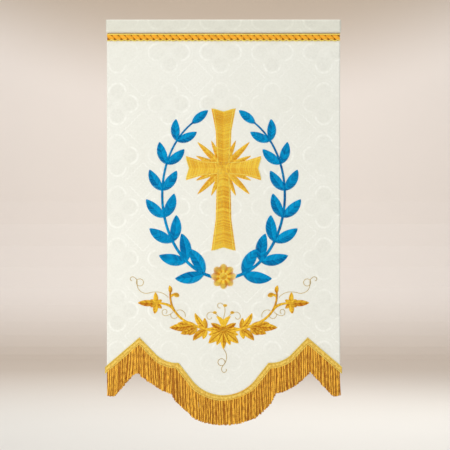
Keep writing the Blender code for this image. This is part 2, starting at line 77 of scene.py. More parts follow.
def object_from(bm, name, *materials):
    """A new object in the scene that holds the bmesh."""
    mesh = bpy.data.meshes.new(name)
    bm.to_mesh(mesh)
    bm.free()
    for material in materials:
        mesh.materials.append(material)
    made = bpy.data.objects.new(name, mesh)
    bpy.context.scene.collection.objects.link(made)
    return made


def mapped_grid(columns, rows, place):
    """A sheet of quads whose corner at column i and row j lies at place(i, j)."""
    bm = bmesh.new()
    bmesh.ops.create_grid(bm, x_segments=columns, y_segments=rows, size=1)
    for vertex in bm.verts:
        column = round((vertex.co.x + 1) / 2 * columns)
        row = round((vertex.co.y + 1) / 2 * rows)
        vertex.co = place(column, row)
    return bm


def add_light(name, place, size, power, target):
    """A square area light that faces a target."""
    lamp = bpy.data.lights.new(name, "AREA")
    lamp.size = size
    lamp.energy = power
    lamp.color = (1.0, 0.995, 0.985)
    light = bpy.data.objects.new(name, lamp)
    light.location = place
    light.rotation_euler = (Vector(target) - light.location).to_track_quat("-Z", "Y").to_euler()
    bpy.context.scene.collection.objects.link(light)


def calc(tree, operation, *values):
    """The result of one Math node."""
    return add(tree, "ShaderNodeMath", dict(enumerate(values)), operation=operation).outputs[0]


def mix_colours(tree, share, first, second, blend="MIX"):
    """The colour between two colours or sockets, at a share of the second."""
    sockets = {0: share}
    for socket, colour in ((6, first), (7, second)):
        sockets[socket] = colour if isinstance(colour, bpy.types.NodeSocket) else (*colour, 1.0)
    return add(tree, "ShaderNodeMix", sockets, data_type="RGBA", blend_type=blend).outputs[2]


def ramp(tree, value, low, high):
    """A smooth rise from 0 where the value is low to 1 where it is high."""
    turned = low > high
    sockets = {"Value": value, "From Min": min(low, high), "From Max": max(low, high)}
    sockets |= {"To Min": float(turned), "To Max": float(not turned)}
    return add(tree, "ShaderNodeMapRange", sockets, interpolation_type="SMOOTHSTEP").outputs["Result"]


def make_paper():
    """Graduated backdrop paper with painted shade: pale on the wall and the floor, painted deeper in the bend
    and at the top as shade, where the painted shade reaches lowest in the middle."""
    material, tree, shader = new_material("studio_paper")
    place = add(tree, "ShaderNodeTexCoord").outputs["Object"]
    axes = add(tree, "ShaderNodeSeparateXYZ", {0: place}).outputs
    grain = add(tree, "ShaderNodeTexNoise", {"Vector": place, "Scale": 3.0, "Detail": 2.0}).outputs["Fac"]
    aside = calc(tree, "MULTIPLY", axes["X"], axes["X"])
    height = calc(tree, "MULTIPLY_ADD", aside, -0.10, axes["Z"])
    wall = calc(tree, "MULTIPLY", ramp(tree, height, 1.28, 0.28), ramp(tree, axes["Z"], -1.92, -1.10))
    floor = ramp(tree, axes["Y"], 6.9, 2.4)
    lit = calc(tree, "MAXIMUM", wall, floor)
    pale = mix_colours(tree, floor, (0.83, 0.75, 0.685), (0.73, 0.70, 0.645))
    grained = mix_colours(tree, grain, (0.98, 0.98, 0.98), (1.0, 1.0, 1.0))
    # Painted shade: the deep paper colour stands for the shade in the bend and at the top of the backdrop.
    paper_with_painted_shade = mix_colours(tree, lit, (0.50, 0.405, 0.315), pale)
    tree.links.new(mix_colours(tree, 1.0, paper_with_painted_shade, grained, "MULTIPLY"), shader.inputs["Base Color"])
    shader.inputs["Roughness"].default_value = 0.9
    return material


def build_studio():
    camera = bpy.data.objects.new("camera", bpy.data.cameras.new("camera"))
    camera.data.sensor_width = SENSOR
    camera.data.lens = SENSOR * VIEW_DISTANCE / VIEW_WIDTH
    camera.location = VIEW_CENTRE - Vector((0.0, VIEW_DISTANCE, 0.0))
    camera.rotation_euler = (math.radians(90), 0.0, 0.0)
    bpy.context.scene.collection.objects.link(camera)
    bpy.context.scene.camera = camera
    bpy.context.scene.view_settings.view_transform = "Standard"

    bend = 10
    profile = [(-SWEEP_START, FLOOR_LEVEL)]
    for step in range(bend + 1):
        turn = math.pi / 2 * step / bend
        y = SWEEP_START + SWEEP_RADIUS * math.sin(turn)
        profile.append((y, FLOOR_LEVEL + SWEEP_RADIUS * (1 - math.cos(turn))))
    profile.append((SWEEP_START + SWEEP_RADIUS, SWEEP_TOP))

    def place(column, row):
        y, z = profile[row]
        return Vector((SWEEP_HALF_WIDTH * (2 * column - 1), y, z))

    sweep = mapped_grid(1, len(profile) - 1, place)
    object_from(sweep, "studio_sweep", make_paper())
    add_light("key", (-2.6, -2.9, -0.5), 1.6, 60.5, VIEW_CENTRE)
    add_light("fill", (2.4, -3.3, -1.05), 2.2, 22.5, VIEW_CENTRE)
    add_light("rim", (0.0, 0.40, 1.3), 0.8, 16.0, (0.0, 0.0, 0.0))
    add_light("rear", (1.8, 3.2, 1.0), 2.0, 36.0, VIEW_CENTRE)
    add_light("backdrop", (0.0, 3.0, 2.4), 3.0, 100.0, (0.0, 7.2, -0.5))
    world = bpy.data.worlds.new("studio_air")
    world.use_nodes = True
    world.node_tree.nodes["Background"].inputs["Color"].default_value = (*ROOM_LIGHT, 1.0)
    world.node_tree.nodes["Background"].inputs["Strength"].default_value = 0.64
    bpy.context.scene.world = world


build_studio()


# The panel. One piece of ivory brocade with a woven figure of quatrefoils, about 2 mm thick with
# its interlining, cut to the scallops below. Its side hems are turned to the back and stitched,
# and it hangs nearly flat from the sleeve, with soft waves along its free edges.
CLOTH_WIDTH = 0.700
CLOTH_THICKNESS = 0.0020
SINGLE_CLOTH_SHARE = 0.75
SIDE_HEM = 0.015
PANEL_TOP = -0.030
PANEL_FRONT = 0.00195
PANEL_ROWS = 170
SEWN_GAP = 0.0003
CLOTH_UNDER_TAPE = 0.012
BOWL_BOTTOM = -1.1265
BOWL_RADIUS = 0.120
BOWL_ANGLE = math.radians(52)
SHOULDER_X = 0.1345
SHELF_HEIGHT = 0.0975
SHELF_START = 0.141
SHELF_RADIUS = 0.088
SHELF_ANGLE = math.radians(46)
PEAK_X = 0.2523
WING_SLOPE = -0.862
EDGE_WAVE = 0.0022
EDGE_WAVE_LENGTH = 0.42
EDGE_WAVE_SHIFT = 0.9
EDGE_WAVE_X = 0.23
EDGE_WAVE_GROWTH = 0.12
EDGE_WAVE_TOP = 0.12
EDGE_WAVE_FALL = 0.40
HEM_WAVE = 0.0024
HEM_WAVE_LENGTH = 0.32
HEM_WAVE_SHIFT = 0.6
HEM_WAVE_TOP = 0.88
HEM_WAVE_FALL = 0.22
FIGURE_REPEAT = 0.155
FIGURE_CENTRE = Vector((-0.0087, 0.0, -0.0966))


def smooth_ramp(value):
    t = min(1.0, max(0.0, value))
    return t * t * (3 - 2 * t)


def drape(x, z):
    """How far the hanging cloth stands behind its own plane at a place on the banner."""
    side = smooth_ramp((abs(x) - EDGE_WAVE_X) / EDGE_WAVE_GROWTH)
    side *= smooth_ramp((-z - EDGE_WAVE_TOP) / EDGE_WAVE_FALL)
    side_shift = EDGE_WAVE_SHIFT if x > 0 else 0.0
    hem = smooth_ramp((-z - HEM_WAVE_TOP) / HEM_WAVE_FALL)
    return (
        side * EDGE_WAVE * math.sin(math.tau * z / EDGE_WAVE_LENGTH + side_shift)
        + hem * HEM_WAVE * math.sin(math.tau * x / HEM_WAVE_LENGTH + HEM_WAVE_SHIFT)
    )


def bowl_and_flank(across):
    """Height and slope of the middle bowl and of the straight flank that leaves it."""
    reach = BOWL_RADIUS * math.sin(BOWL_ANGLE)
    if across < reach:
        drop = math.sqrt(BOWL_RADIUS**2 - across**2)
        return BOWL_RADIUS - drop, across / drop
    height = BOWL_RADIUS * (1 - math.cos(BOWL_ANGLE))
    slope = math.tan(BOWL_ANGLE)
    return height + slope * (across - reach), slope


def shelf_and_rise(across):
    """Height and slope of the shelf beside the bowl and of its rise to the peak."""
    past = max(0.0, across - SHELF_START)
    reach = SHELF_RADIUS * math.sin(SHELF_ANGLE)
    if past < reach:
        drop = math.sqrt(SHELF_RADIUS**2 - past**2)
        return SHELF_HEIGHT + SHELF_RADIUS - drop, past / drop
    height = SHELF_HEIGHT + SHELF_RADIUS * (1 - math.cos(SHELF_ANGLE))
    slope = math.tan(SHELF_ANGLE)
    return height + slope * (past - reach), slope


def wing(across):
    """Height and slope of the straight outer edge, which falls from the peak to the corner."""
    peak_height, _ = shelf_and_rise(PEAK_X)
    return peak_height + WING_SLOPE * (across - PEAK_X), WING_SLOPE


def scallop(x, inset=0.0):
    """Z of the scalloped edge at x, or of a line that runs inset metres below it."""
    across = abs(x)
    lines = (bowl_and_flank(across), shelf_and_rise(across), wing(across))
    return BOWL_BOTTOM + min(height - inset * math.hypot(1, slope) for height, slope in lines)


def spread_between(marks, counts):
    """Places from the first mark to the last, with counts[i] even steps between marks i and i + 1."""
    places = [marks[0]]
    for low, high, count in zip(marks, marks[1:], counts):
        places += [low + (high - low) * step / count for step in range(1, count + 1)]
    return places


def near_line(tree, distance, line, half_width):
    """1 on a line at this distance, falling softly to 0 at half_width from it."""
    off = calc(tree, "ABSOLUTE", calc(tree, "SUBTRACT", distance, line))
    return ramp(tree, off, half_width, 0.0)


def lobe_distance(tree, across, up, offset):
    """Distance to the nearest of four lobe centres, which lie offset to the right, left, above and below."""
    far = calc(tree, "MAXIMUM", across, up)
    near = calc(tree, "MINIMUM", across, up)
    along = calc(tree, "SUBTRACT", far, offset)
    squares = calc(tree, "ADD", calc(tree, "MULTIPLY", along, along), calc(tree, "MULTIPLY", near, near))
    return calc(tree, "SQRT", squares)


def brocade_figure(tree, place, centre):
    """The woven figure on a square repeat, over 0 where its satin shows light and under 0 where it
    shows dark: quatrefoils with a light rim, and in each gap a bracketed diamond full of beads."""
    axes = add(tree, "ShaderNodeSeparateXYZ", {0: place}).outputs
    folded = []
    for axis, middle in (("X", centre.x), ("Z", centre.z)):
        repeats = calc(tree, "DIVIDE", calc(tree, "SUBTRACT", axes[axis], middle), FIGURE_REPEAT)
        cell = calc(tree, "SUBTRACT", repeats, calc(tree, "ROUND", repeats))
        folded.append(calc(tree, "ABSOLUTE", cell))
    across, up = folded
    lobe = lobe_distance(tree, across, up, 0.24)
    middle = lobe_distance(tree, across, up, 0.0)
    outer = ramp(tree, middle, 0.22, 0.33)
    rim = calc(tree, "MULTIPLY", near_line(tree, lobe, 0.156, 0.044), outer)
    halo = calc(tree, "MULTIPLY", near_line(tree, lobe, 0.218, 0.022), 0.40)
    buttons = calc(tree, "MULTIPLY", near_line(tree, lobe, 0.055, 0.026), 0.12)
    star = calc(tree, "MULTIPLY", near_line(tree, middle, 0.060, 0.028), 0.22)
    hollow = calc(tree, "MULTIPLY", ramp(tree, lobe, 0.168, 0.118), -0.42)

    gap_across = calc(tree, "SUBTRACT", 0.5, across)
    gap_up = calc(tree, "SUBTRACT", 0.5, up)
    diamond = calc(tree, "ADD", gap_across, gap_up)
    along = calc(tree, "MULTIPLY", calc(tree, "SUBTRACT", gap_across, gap_up), math.pi / 0.118)
    bracket = calc(tree, "MULTIPLY_ADD", calc(tree, "ABSOLUTE", calc(tree, "COSINE", along)), 0.024, diamond)
    frame_line = calc(tree, "MULTIPLY", near_line(tree, bracket, 0.372, 0.030), 0.8)
    inner_line = calc(tree, "MULTIPLY", near_line(tree, diamond, 0.258, 0.020), 0.30)
    beads = calc(
        tree,
        "MULTIPLY",
        calc(tree, "COSINE", calc(tree, "MULTIPLY", gap_across, math.tau / 0.092)),
        calc(tree, "COSINE", calc(tree, "MULTIPLY", gap_up, math.tau / 0.092)),
    )
    beaded = calc(tree, "MULTIPLY", ramp(tree, beads, 0.25, 0.80), ramp(tree, diamond, 0.245, 0.20))
    figure = calc(tree, "MULTIPLY", beaded, 0.5)
    for line in (rim, halo, buttons, star, frame_line, inner_line):
        figure = calc(tree, "MAXIMUM", figure, line)
    return calc(tree, "ADD", figure, hollow)


def make_brocade(name, centre, pale, deep):
    """Ivory brocade: a matt ribbed ground with the figure woven in glossier satin, a little lighter.
    Its ground runs from the deep to the pale colour, and a quatrefoil lies on the centre."""
    material, tree, shader = new_material(name)
    place = add(tree, "ShaderNodeTexCoord").outputs["Object"]
    drawn = brocade_figure(tree, place, centre)
    # Painted sheen: slow noise patches make the satin figure show more or less, as where it catches the light.
    figure_sheen_patches = add(tree, "ShaderNodeTexNoise", {"Vector": place, "Scale": 6.0, "Detail": 2.0}).outputs["Fac"]
    floats = add(tree, "ShaderNodeTexNoise", {"Vector": place, "Scale": 130.0, "Detail": 2.0}).outputs["Fac"]
    faded = calc(tree, "MULTIPLY_ADD", ramp(tree, figure_sheen_patches, 0.35, 0.65), 0.55, 0.45)
    broken = calc(tree, "MULTIPLY_ADD", ramp(tree, floats, 0.3, 0.7), 0.9, 0.35)
    figure = calc(tree, "MULTIPLY", drawn, calc(tree, "MULTIPLY", faded, broken))
    tone = add(tree, "ShaderNodeTexNoise", {"Vector": place, "Scale": 5.0, "Detail": 3.0}).outputs["Fac"]
    slubs = add(tree, "ShaderNodeTexNoise", {"Vector": place, "Scale": 210.0, "Detail": 3.0}).outputs["Fac"]
    ground = mix_colours(tree, tone, deep, pale)
    threaded = mix_colours(tree, ramp(tree, slubs, 0.25, 0.75), (0.955, 0.955, 0.945), (1.0, 1.0, 1.0))
    cloth = mix_colours(tree, 1.0, ground, threaded, "MULTIPLY")
    light = mix_colours(tree, ramp(tree, figure, 0.0, 1.0), cloth, [c * 1.045 for c in pale])
    satin = mix_colours(tree, ramp(tree, figure, 0.0, -1.0), light, [c * 0.90 for c in deep])
    tree.links.new(satin, shader.inputs["Base Color"])
    gloss = add(tree, "ShaderNodeMapRange", {"Value": figure, "To Min": 0.60, "To Max": 0.48})
    tree.links.new(gloss.outputs["Result"], shader.inputs["Roughness"])
    ribs = []
    for direction, scale in (("Z", 330.0), ("X", 520.0)):
        wave = {"Vector": place, "Scale": scale, "Distortion": 0.6, "Detail": 1.0}
        ribs.append(add(tree, "ShaderNodeTexWave", wave, bands_direction=direction).outputs["Fac"])
    woven = calc(tree, "MULTIPLY", calc(tree, "ADD", *ribs), 0.35)
    relief = calc(tree, "MULTIPLY_ADD", figure, 0.30, woven)
    bump = add(tree, "ShaderNodeBump", {"Strength": 0.30, "Distance": 0.0003, "Height": relief})
    tree.links.new(bump.outputs["Normal"], shader.inputs["Normal"])
    shader.inputs["Sheen Weight"].default_value = 0.25
    shader.inputs["Sheen Roughness"].default_value = 0.5
    shader.inputs["Specular IOR Level"].default_value = 0.35
    return material


def fit_piece(piece, slot, *nodes):
    """The piece rides on the banner and stands for its CAD nodes, which it hides; slot is not used."""
    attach(piece, "root")
    if nodes:
        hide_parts(*nodes)


def build_panel(material):
    half = CLOTH_WIDTH / 2
    marks = [-half, SIDE_HEM - half, -PEAK_X, -SHOULDER_X, 0.0, SHOULDER_X, PEAK_X, half - SIDE_HEM, half]
    places = spread_between(marks, [3, 14, 20, 22, 22, 20, 14, 3])

    def place(column, row):
        x = places[column]
        bottom = scallop(x, CLOTH_UNDER_TAPE)
        z = bottom + (PANEL_TOP - bottom) * row / PANEL_ROWS
        return Vector((x, PANEL_FRONT + drape(x, z), z))

    bm = mapped_grid(len(places) - 1, PANEL_ROWS, place)
    bmesh.ops.recalc_face_normals(bm, faces=bm.faces)
    panel = object_from(bm, "banner_cloth", material)
    if panel.data.polygons[0].normal.y > 0:
        panel.data.flip_normals()
    hem = panel.vertex_groups.new(name="turned_hem")
    inner = half - SIDE_HEM - 1e-4
    hem.add([v.index for v in panel.data.vertices if abs(v.co.x) > inner], 1.0, "REPLACE")
    thicken = panel.modifiers.new("cloth", "SOLIDIFY")
    thicken.thickness = CLOTH_THICKNESS
    thicken.offset = -1.0
    thicken.vertex_group = "turned_hem"
    thicken.thickness_vertex_group = SINGLE_CLOTH_SHARE
    panel.data.shade_smooth()
    fit_piece(panel, "ivory_brocade", "panel")
    strips = zip(places, places[1:])
    return panel, sum((b - a) * (PANEL_TOP - scallop((a + b) / 2, CLOTH_UNDER_TAPE)) for a, b in strips)


brocade = make_brocade("ivory_brocade", FIGURE_CENTRE, (0.888, 0.880, 0.806), (0.832, 0.820, 0.730))
banner_cloth, cloth_area = build_panel(brocade)


# The sleeve. A strip of the same brocade folded over the top of the panel and sewn to its front
# and back. It is open at both ends for a batten, and its front wall stands proud of the braid.
SLEEVE_WIDTH = 0.704
SLEEVE_HEIGHT = 0.038
SLEEVE_HOLLOW = 0.0085
SLEEVE_CLOTH = 0.0016
SLEEVE_BEND = 0.0034
SLEEVE_SLACK = 0.00025
SLEEVE_SLACK_LENGTH = 0.17
SLEEVE_FIGURE_CENTRE = Vector((-0.0087, 0.0, -0.0036))


def sleeve_section():
    """The sleeve's middle line in the Y-Z plane, from its lip at the panel's front face, forward
    and up the front wall, over the top and down the back wall."""
    wall = SLEEVE_CLOTH / 2
    front = -(SLEEVE_HOLLOW / 2 + wall)
    back = -front
    bottom = wall - SLEEVE_HEIGHT
    top = -wall - SLEEVE_BEND
    lip = PANEL_FRONT - SEWN_GAP - wall
    steps = 8

    def corner(centre_y, centre_z, start, end):
        turn = (math.radians(start + (end - start) * step / steps) for step in range(steps + 1))
        return [(centre_y + SLEEVE_BEND * math.cos(a), centre_z + SLEEVE_BEND * math.sin(a)) for a in turn]

    section = [(lip, bottom + 0.0022), (lip - 0.0010, bottom + 0.0004)]
    section += corner(front + SLEEVE_BEND, bottom + SLEEVE_BEND, 270, 180)
    section += [(front, z) for z in spread_between((bottom + SLEEVE_BEND, top), (5,))[1:-1]]
    section += corner(front + SLEEVE_BEND, top, 180, 90)
    section += corner(back - SLEEVE_BEND, top, 90, 0)
    section += [(back, z) for z in spread_between((top, bottom), (5,))[1:]]
    return section


def build_sleeve(material):
    section = sleeve_section()
    columns = 88

    def place(column, row):
        y, z = section[row]
        x = SLEEVE_WIDTH * (column / columns - 0.5)
        slack = SLEEVE_SLACK * math.sin(math.tau * x / SLEEVE_SLACK_LENGTH + 1.1)
        return Vector((x, y + slack * smooth_ramp(-z / SLEEVE_HEIGHT), z))

    bm = mapped_grid(columns, len(section) - 1, place)
    bmesh.ops.recalc_face_normals(bm, faces=bm.faces)
    sleeve = object_from(bm, "batten_sleeve", material)
    thicken = sleeve.modifiers.new("cloth", "SOLIDIFY")
    thicken.thickness = SLEEVE_CLOTH
    thicken.offset = 0.0
    thicken.use_even_offset = True
    sleeve.data.shade_smooth()
    fit_piece(sleeve, "ivory_brocade", "sleeve")
    length = sum(math.dist(a, b) for a, b in zip(section, section[1:]))


# Painted shade: the sleeve's brocade is the panel's brocade painted darker, as shade on the sleeve's front wall.
shaded_sleeve_brocade = make_brocade(
    "shaded_sleeve_brocade", SLEEVE_FIGURE_CENTRE, (0.790, 0.778, 0.675), (0.745, 0.728, 0.620)
)
build_sleeve(shaded_sleeve_brocade)


# The braid. A flat furnishing braid, 25 mm high, sewn across the front just under the sleeve. On
# its woven base lie slanting bundles of gold yarn, with a twisted cord along each edge.
BRAID_WIDTH = 0.698
BRAID_HEIGHT = 0.0248
BRAID_TOP = -0.0392
BRAID_BASE = 0.0009
BRAID_TWISTS = 36
BRAID_YARNS = 5
BRAID_YARN_RADIUS = 0.00190
BRAID_YARN_SHARE = 0.180
BRAID_PINCH = 0.42
BRAID_SLANT = 0.62
BRAID_LOBE_HEIGHT = 0.0166
BRAID_LOBE_DROP = 0.0008
BRAID_CORDS = (
    {"side": 1, "inset": 0.0048, "radius": 0.0023, "wander": 0.0},
    {"side": -1, "inset": 0.0022, "radius": 0.0021, "wander": 0.0014},
)
CORD_TWIST = 0.0058
GOLD_GLOSS = (1.0, 0.72, 0.25, 1.0)


def new_tree(name, **inputs):
    """A geometry tree with the named number inputs, and its group input and output nodes."""
    tree = bpy.data.node_groups.new(name, "GeometryNodeTree")
    tree.interface.new_socket("Geometry", in_out="INPUT", socket_type="NodeSocketGeometry")
    tree.interface.new_socket("Geometry", in_out="OUTPUT", socket_type="NodeSocketGeometry")
    for title, value in inputs.items():
        tree.interface.new_socket(title, in_out="INPUT", socket_type="NodeSocketFloat").default_value = value
    return tree, add(tree, "NodeGroupInput"), add(tree, "NodeGroupOutput")


def grown(piece, tree, **values):
    """The piece with the geometry that the tree makes of it, as a plain mesh."""
    modifier = piece.modifiers.new("grow", "NODES")
    modifier.node_group = tree
    for item in tree.interface.items_tree:
        if item.name in values:
            modifier[item.identifier] = values[item.name]
    bpy.context.view_layer.update()
    graph = bpy.context.evaluated_depsgraph_get()
    mesh = bpy.data.meshes.new_from_object(
        piece.evaluated_get(graph), preserve_all_data_layers=True, depsgraph=graph
    )
    piece.modifiers.clear()
    piece.data = mesh
    return piece


def chain_object(name, chains):
    """An object of edges only: each chain is a list of places in order along a path."""
    bm = bmesh.new()
    for chain in chains:
        corners = [bm.verts.new(place) for place in chain]
        for first, second in zip(corners, corners[1:]):
            bm.edges.new((first, second))
    return object_from(bm, name)


def named(tree, title, kind="FLOAT"):
    """The values of a named attribute."""
    return add(tree, "GeometryNodeInputNamedAttribute", {"Name": title}, data_type=kind).outputs[0]


def stored(tree, geometry, title, value):
    """The geometry with a number kept on its points under a name."""
    sockets = {"Geometry": geometry, "Name": title, "Value": value}
    return add(tree, "GeometryNodeStoreNamedAttribute", sockets).outputs["Geometry"]


def dressed(tree, result, geometry, material):
    """Smooth shading and the material, as the last nodes of a tree."""
    smooth = add(tree, "GeometryNodeSetShadeSmooth", {"Geometry": geometry}).outputs["Geometry"]
    figure_sheen_patches = add(tree, "GeometryNodeSetMaterial", {"Geometry": smooth, "Material": material})
    tree.links.new(figure_sheen_patches.outputs["Geometry"], result.inputs["Geometry"])
    return tree


def cord_tree(material):
    """Twists two plies round each path that it gets."""
    tree, given, result = new_tree("twisted_cord", Radius=0.0013, Twist=0.006, Step=0.0008)
    path = add(tree, "GeometryNodeMeshToCurve", {"Mesh": given.outputs["Geometry"]})
    even = add(
        tree,
        "GeometryNodeResampleCurve",
        {"Curve": path.outputs["Curve"], "Length": given.outputs["Step"]},
        mode="LENGTH",
    )
    along = add(tree, "GeometryNodeSplineParameter").outputs["Length"]
    turns = calc(tree, "DIVIDE", along, given.outputs["Twist"])
    tilt = calc(tree, "MULTIPLY", turns, math.tau)
    turned = add(tree, "GeometryNodeSetCurveTilt", {"Curve": even.outputs["Curve"], "Tilt": tilt})
    radius = given.outputs["Radius"]
    ply_radius = calc(tree, "MULTIPLY", radius, 0.62)
    ply = add(tree, "GeometryNodeCurvePrimitiveCircle", {"Resolution": 5, "Radius": ply_radius})
    plies = add(tree, "GeometryNodeJoinGeometry")
    for side in (-0.40, 0.40):
        offset = add(tree, "ShaderNodeCombineXYZ", {"X": calc(tree, "MULTIPLY", radius, side)}).outputs[0]
        moved = add(tree, "GeometryNodeTransform", {"Geometry": ply.outputs["Curve"], "Translation": offset})
        tree.links.new(moved.outputs["Geometry"], plies.inputs["Geometry"])
    swept = add(
        tree,
        "GeometryNodeCurveToMesh",
        {"Curve": turned.outputs["Curve"], "Profile Curve": plies.outputs["Geometry"], "Fill Caps": True},
    )
    return dressed(tree, result, swept.outputs["Mesh"], material)


def yarn_tree(material):
    """Sweeps a round yarn along each path that it gets, thinner at its two ends."""
    tree, given, result = new_tree("laid_yarn", Radius=0.0015, Ends=0.6)
    path = add(tree, "GeometryNodeMeshToCurve", {"Mesh": given.outputs["Geometry"]})
    factor = add(tree, "GeometryNodeSplineParameter").outputs["Factor"]
    middle = calc(tree, "SINE", calc(tree, "MULTIPLY", factor, math.pi))
    spread = add(tree, "ShaderNodeMapRange", {"Value": middle, "To Min": given.outputs["Ends"], "To Max": 1.0})
    radius = given.outputs["Radius"]
    round_yarn = add(tree, "GeometryNodeCurvePrimitiveCircle", {"Resolution": 6, "Radius": radius})
    sized = {"Curve": path.outputs["Curve"], "Radius": spread.outputs["Result"]}
    shaped = add(tree, "GeometryNodeSetCurveRadius", sized)
    swept = add(
        tree,
        "GeometryNodeCurveToMesh",
        {"Curve": shaped.outputs["Curve"], "Profile Curve": round_yarn.outputs["Curve"], "Fill Caps": True},
    )
    return dressed(tree, result, swept.outputs["Mesh"], material)


def make_trim(name, deep, bright, twist_scale, level):
    """Gold rayon: yarn with a silky sheen, painted deeper in colour as shade where it lies low between its
    neighbours.
    level is the depth in front of the cloth at which the painted shade gives way to its bright colour."""
    material, tree, shader = new_material(name)
    place = add(tree, "ShaderNodeTexCoord").outputs["Object"]
    depth = add(tree, "ShaderNodeSeparateXYZ", {0: place}).outputs["Y"]
    # Painted shade: the share of bright colour rises with the yarn's height in front of the cloth, so low places and
    # gaps look shaded.
    raised = add(
        tree,
        "ShaderNodeMapRange",
        {"Value": depth, "From Min": PANEL_FRONT - 0.0006, "From Max": PANEL_FRONT - level},
        interpolation_type="SMOOTHSTEP",
    ).outputs["Result"]
    tone_noise = add(tree, "ShaderNodeTexNoise", {"Vector": place, "Scale": 90.0, "Detail": 3.0}).outputs["Fac"]
    share = calc(tree, "MULTIPLY", raised, calc(tree, "MULTIPLY_ADD", tone_noise, 0.7, 0.62))
    colour = mix_colours(tree, add(tree, "ShaderNodeClamp", {"Value": share}).outputs[0], deep, bright)
    tree.links.new(colour, shader.inputs["Base Color"])
    fibres = add(
        tree,
        "ShaderNodeTexWave",
        {"Vector": place, "Scale": twist_scale, "Distortion": 2.0, "Detail": 2.0, "Detail Scale": 3.0},
        bands_direction="DIAGONAL",
    )
    bump = add(tree, "ShaderNodeBump", {"Strength": 0.5, "Distance": 0.0003, "Height": fibres.outputs["Fac"]})
    tree.links.new(bump.outputs["Normal"], shader.inputs["Normal"])
    shader.inputs["Roughness"].default_value = 0.42
    shader.inputs["Metallic"].default_value = 0.10
    shader.inputs["Specular Tint"].default_value = GOLD_GLOSS
    shader.inputs["Sheen Weight"].default_value = 0.45
    shader.inputs["Sheen Roughness"].default_value = 0.4
    shader.inputs["Sheen Tint"].default_value = GOLD_GLOSS
    return material


def build_braid(gold, edge_trees):
    back = PANEL_FRONT - SEWN_GAP
    front = back - BRAID_BASE
    middle = BRAID_TOP - BRAID_HEIGHT / 2
    columns = BRAID_TWISTS * 4
    base_height = BRAID_HEIGHT - 0.0016

    def base_place(column, row):
        return Vector((BRAID_WIDTH * (column / columns - 0.5), front, middle + base_height * (row / 4 - 0.5)))

    bm = mapped_grid(columns, 4, base_place)
    bmesh.ops.recalc_face_normals(bm, faces=bm.faces)
    base = object_from(bm, "braid_base", gold)
    if base.data.polygons[0].normal.y > 0:
        base.data.flip_normals()
    thicken = base.modifiers.new("cloth", "SOLIDIFY")
    thicken.thickness = BRAID_BASE
    thicken.offset = -1.0
    fit_piece(base, "gold_trim", "braid")

    pitch = BRAID_WIDTH / BRAID_TWISTS
    half = BRAID_LOBE_HEIGHT / 2
    end = BRAID_WIDTH / 2 - 0.0012
    steps = 9
    chains = []
    for lobe in range(BRAID_TWISTS):
        start = BRAID_WIDTH * ((lobe + 0.5) / BRAID_TWISTS - 0.5)
        for yarn in range(BRAID_YARNS):
            share = (yarn + 0.5) / BRAID_YARNS
            beside = pitch * BRAID_YARN_SHARE * (yarn - (BRAID_YARNS - 1) / 2)
            proud = 0.0012 * math.sin(math.pi * share)
            chain = []
            for step in range(steps + 1):
                t = step / steps
                pinched = 1 - BRAID_PINCH * (0.45 + t) * (1 - math.sin(math.pi * t))
                x = start + beside * pinched + pitch * BRAID_SLANT * (smooth_ramp(t) - 0.5)
                rise = math.sin(math.pi * t) ** 0.7 * (0.0006 + proud)
                z = middle - BRAID_LOBE_DROP + half * (1 - 2 * t) * (1 - 0.16 * abs(share - 0.5))
                chain.append(Vector((max(-end, min(end, x)), front - 0.0006 - rise, z)))
            chains.append(chain)
    yarns = grown(chain_object("braid_yarns", chains), yarn_tree(gold), Radius=BRAID_YARN_RADIUS)
    fit_piece(yarns, "gold_trim", "braid")

    edgings = []
    for name, cord, cords in zip(("braid_top_cord", "braid_low_cord"), BRAID_CORDS, edge_trees):
        radius = cord["radius"]
        edge = middle + cord["side"] * (BRAID_HEIGHT / 2 - cord["inset"])
        chain = []
        for step in range(BRAID_TWISTS * 8 + 1):
            x = BRAID_WIDTH * (step / BRAID_TWISTS / 8 - 0.5)
            z = edge + cord["wander"] * math.cos(math.tau * (step / 8 + 0.3))
            chain.append(Vector((x, front - radius * 1.3, z)))
        edging = grown(chain_object(name, [chain]), cords, Radius=radius, Twist=CORD_TWIST, Step=0.0008)
        fit_piece(edging, "gold_trim", "braid")
        edgings.append(edging)
    return [base, yarns, *edgings]


# The deep colours of the braid and the cords are painted shade, where the yarn lies low.
braid_gold = make_trim("braid_gold", (0.36, 0.090, 0.001), (0.98, 0.46, 0.034), 420.0, 0.0046)
cord_gold = make_trim("cord_gold", (1.0, 0.62, 0.050), (1.0, 0.86, 0.190), 620.0, 0.0018)
pale_gold = make_trim("pale_gold", (1.0, 0.58, 0.050), (1.0, 0.86, 0.200), 620.0, 0.0022)
cords = cord_tree(cord_gold)
trims = build_braid(braid_gold, [cords, cord_tree(pale_gold)])


# The fringe. A woven heading tape, 16 mm wide, is sewn over the scalloped edge, and twisted
# bullion strands hang from it in two rows, those behind in the gaps of those in front.
TAPE_WIDTH = 0.016
TAPE_THICKNESS = 0.0015
TAPE_OVERHANG = 0.0055
TAPE_ROWS = 12
TAPE_CORD_RADIUS = 0.00115
STRAND_COUNT = 200
STRAND_WIDTH = 0.0030
STRAND_LEAN = 0.0038
STRAND_LEAN_LENGTH = 0.195
STRAND_UNEVEN = 0.0042
STRAND_TWIST = 0.0110
FRINGE_DROP = 0.0915
TIP_BOWL_RADIUS = BOWL_RADIUS + FRINGE_DROP
TIP_BOWL_REACH = 0.095
TIP_FLANK_SLOPE = 0.94
TIP_STEP_X = 0.1555
TIP_STEP_SLOPE = 1.9
TIP_SHELF_X = 0.152
TIP_SHELF_HEIGHT = 0.004
TIP_SHELF_RISE = 2.77
TIP_SHELF_POWER = 1.7
TIP_PEAK_HEIGHT = 0.0755
TIP_WING_SLOPE = -1.12
TIP_CORNER_HEIGHT = -0.004


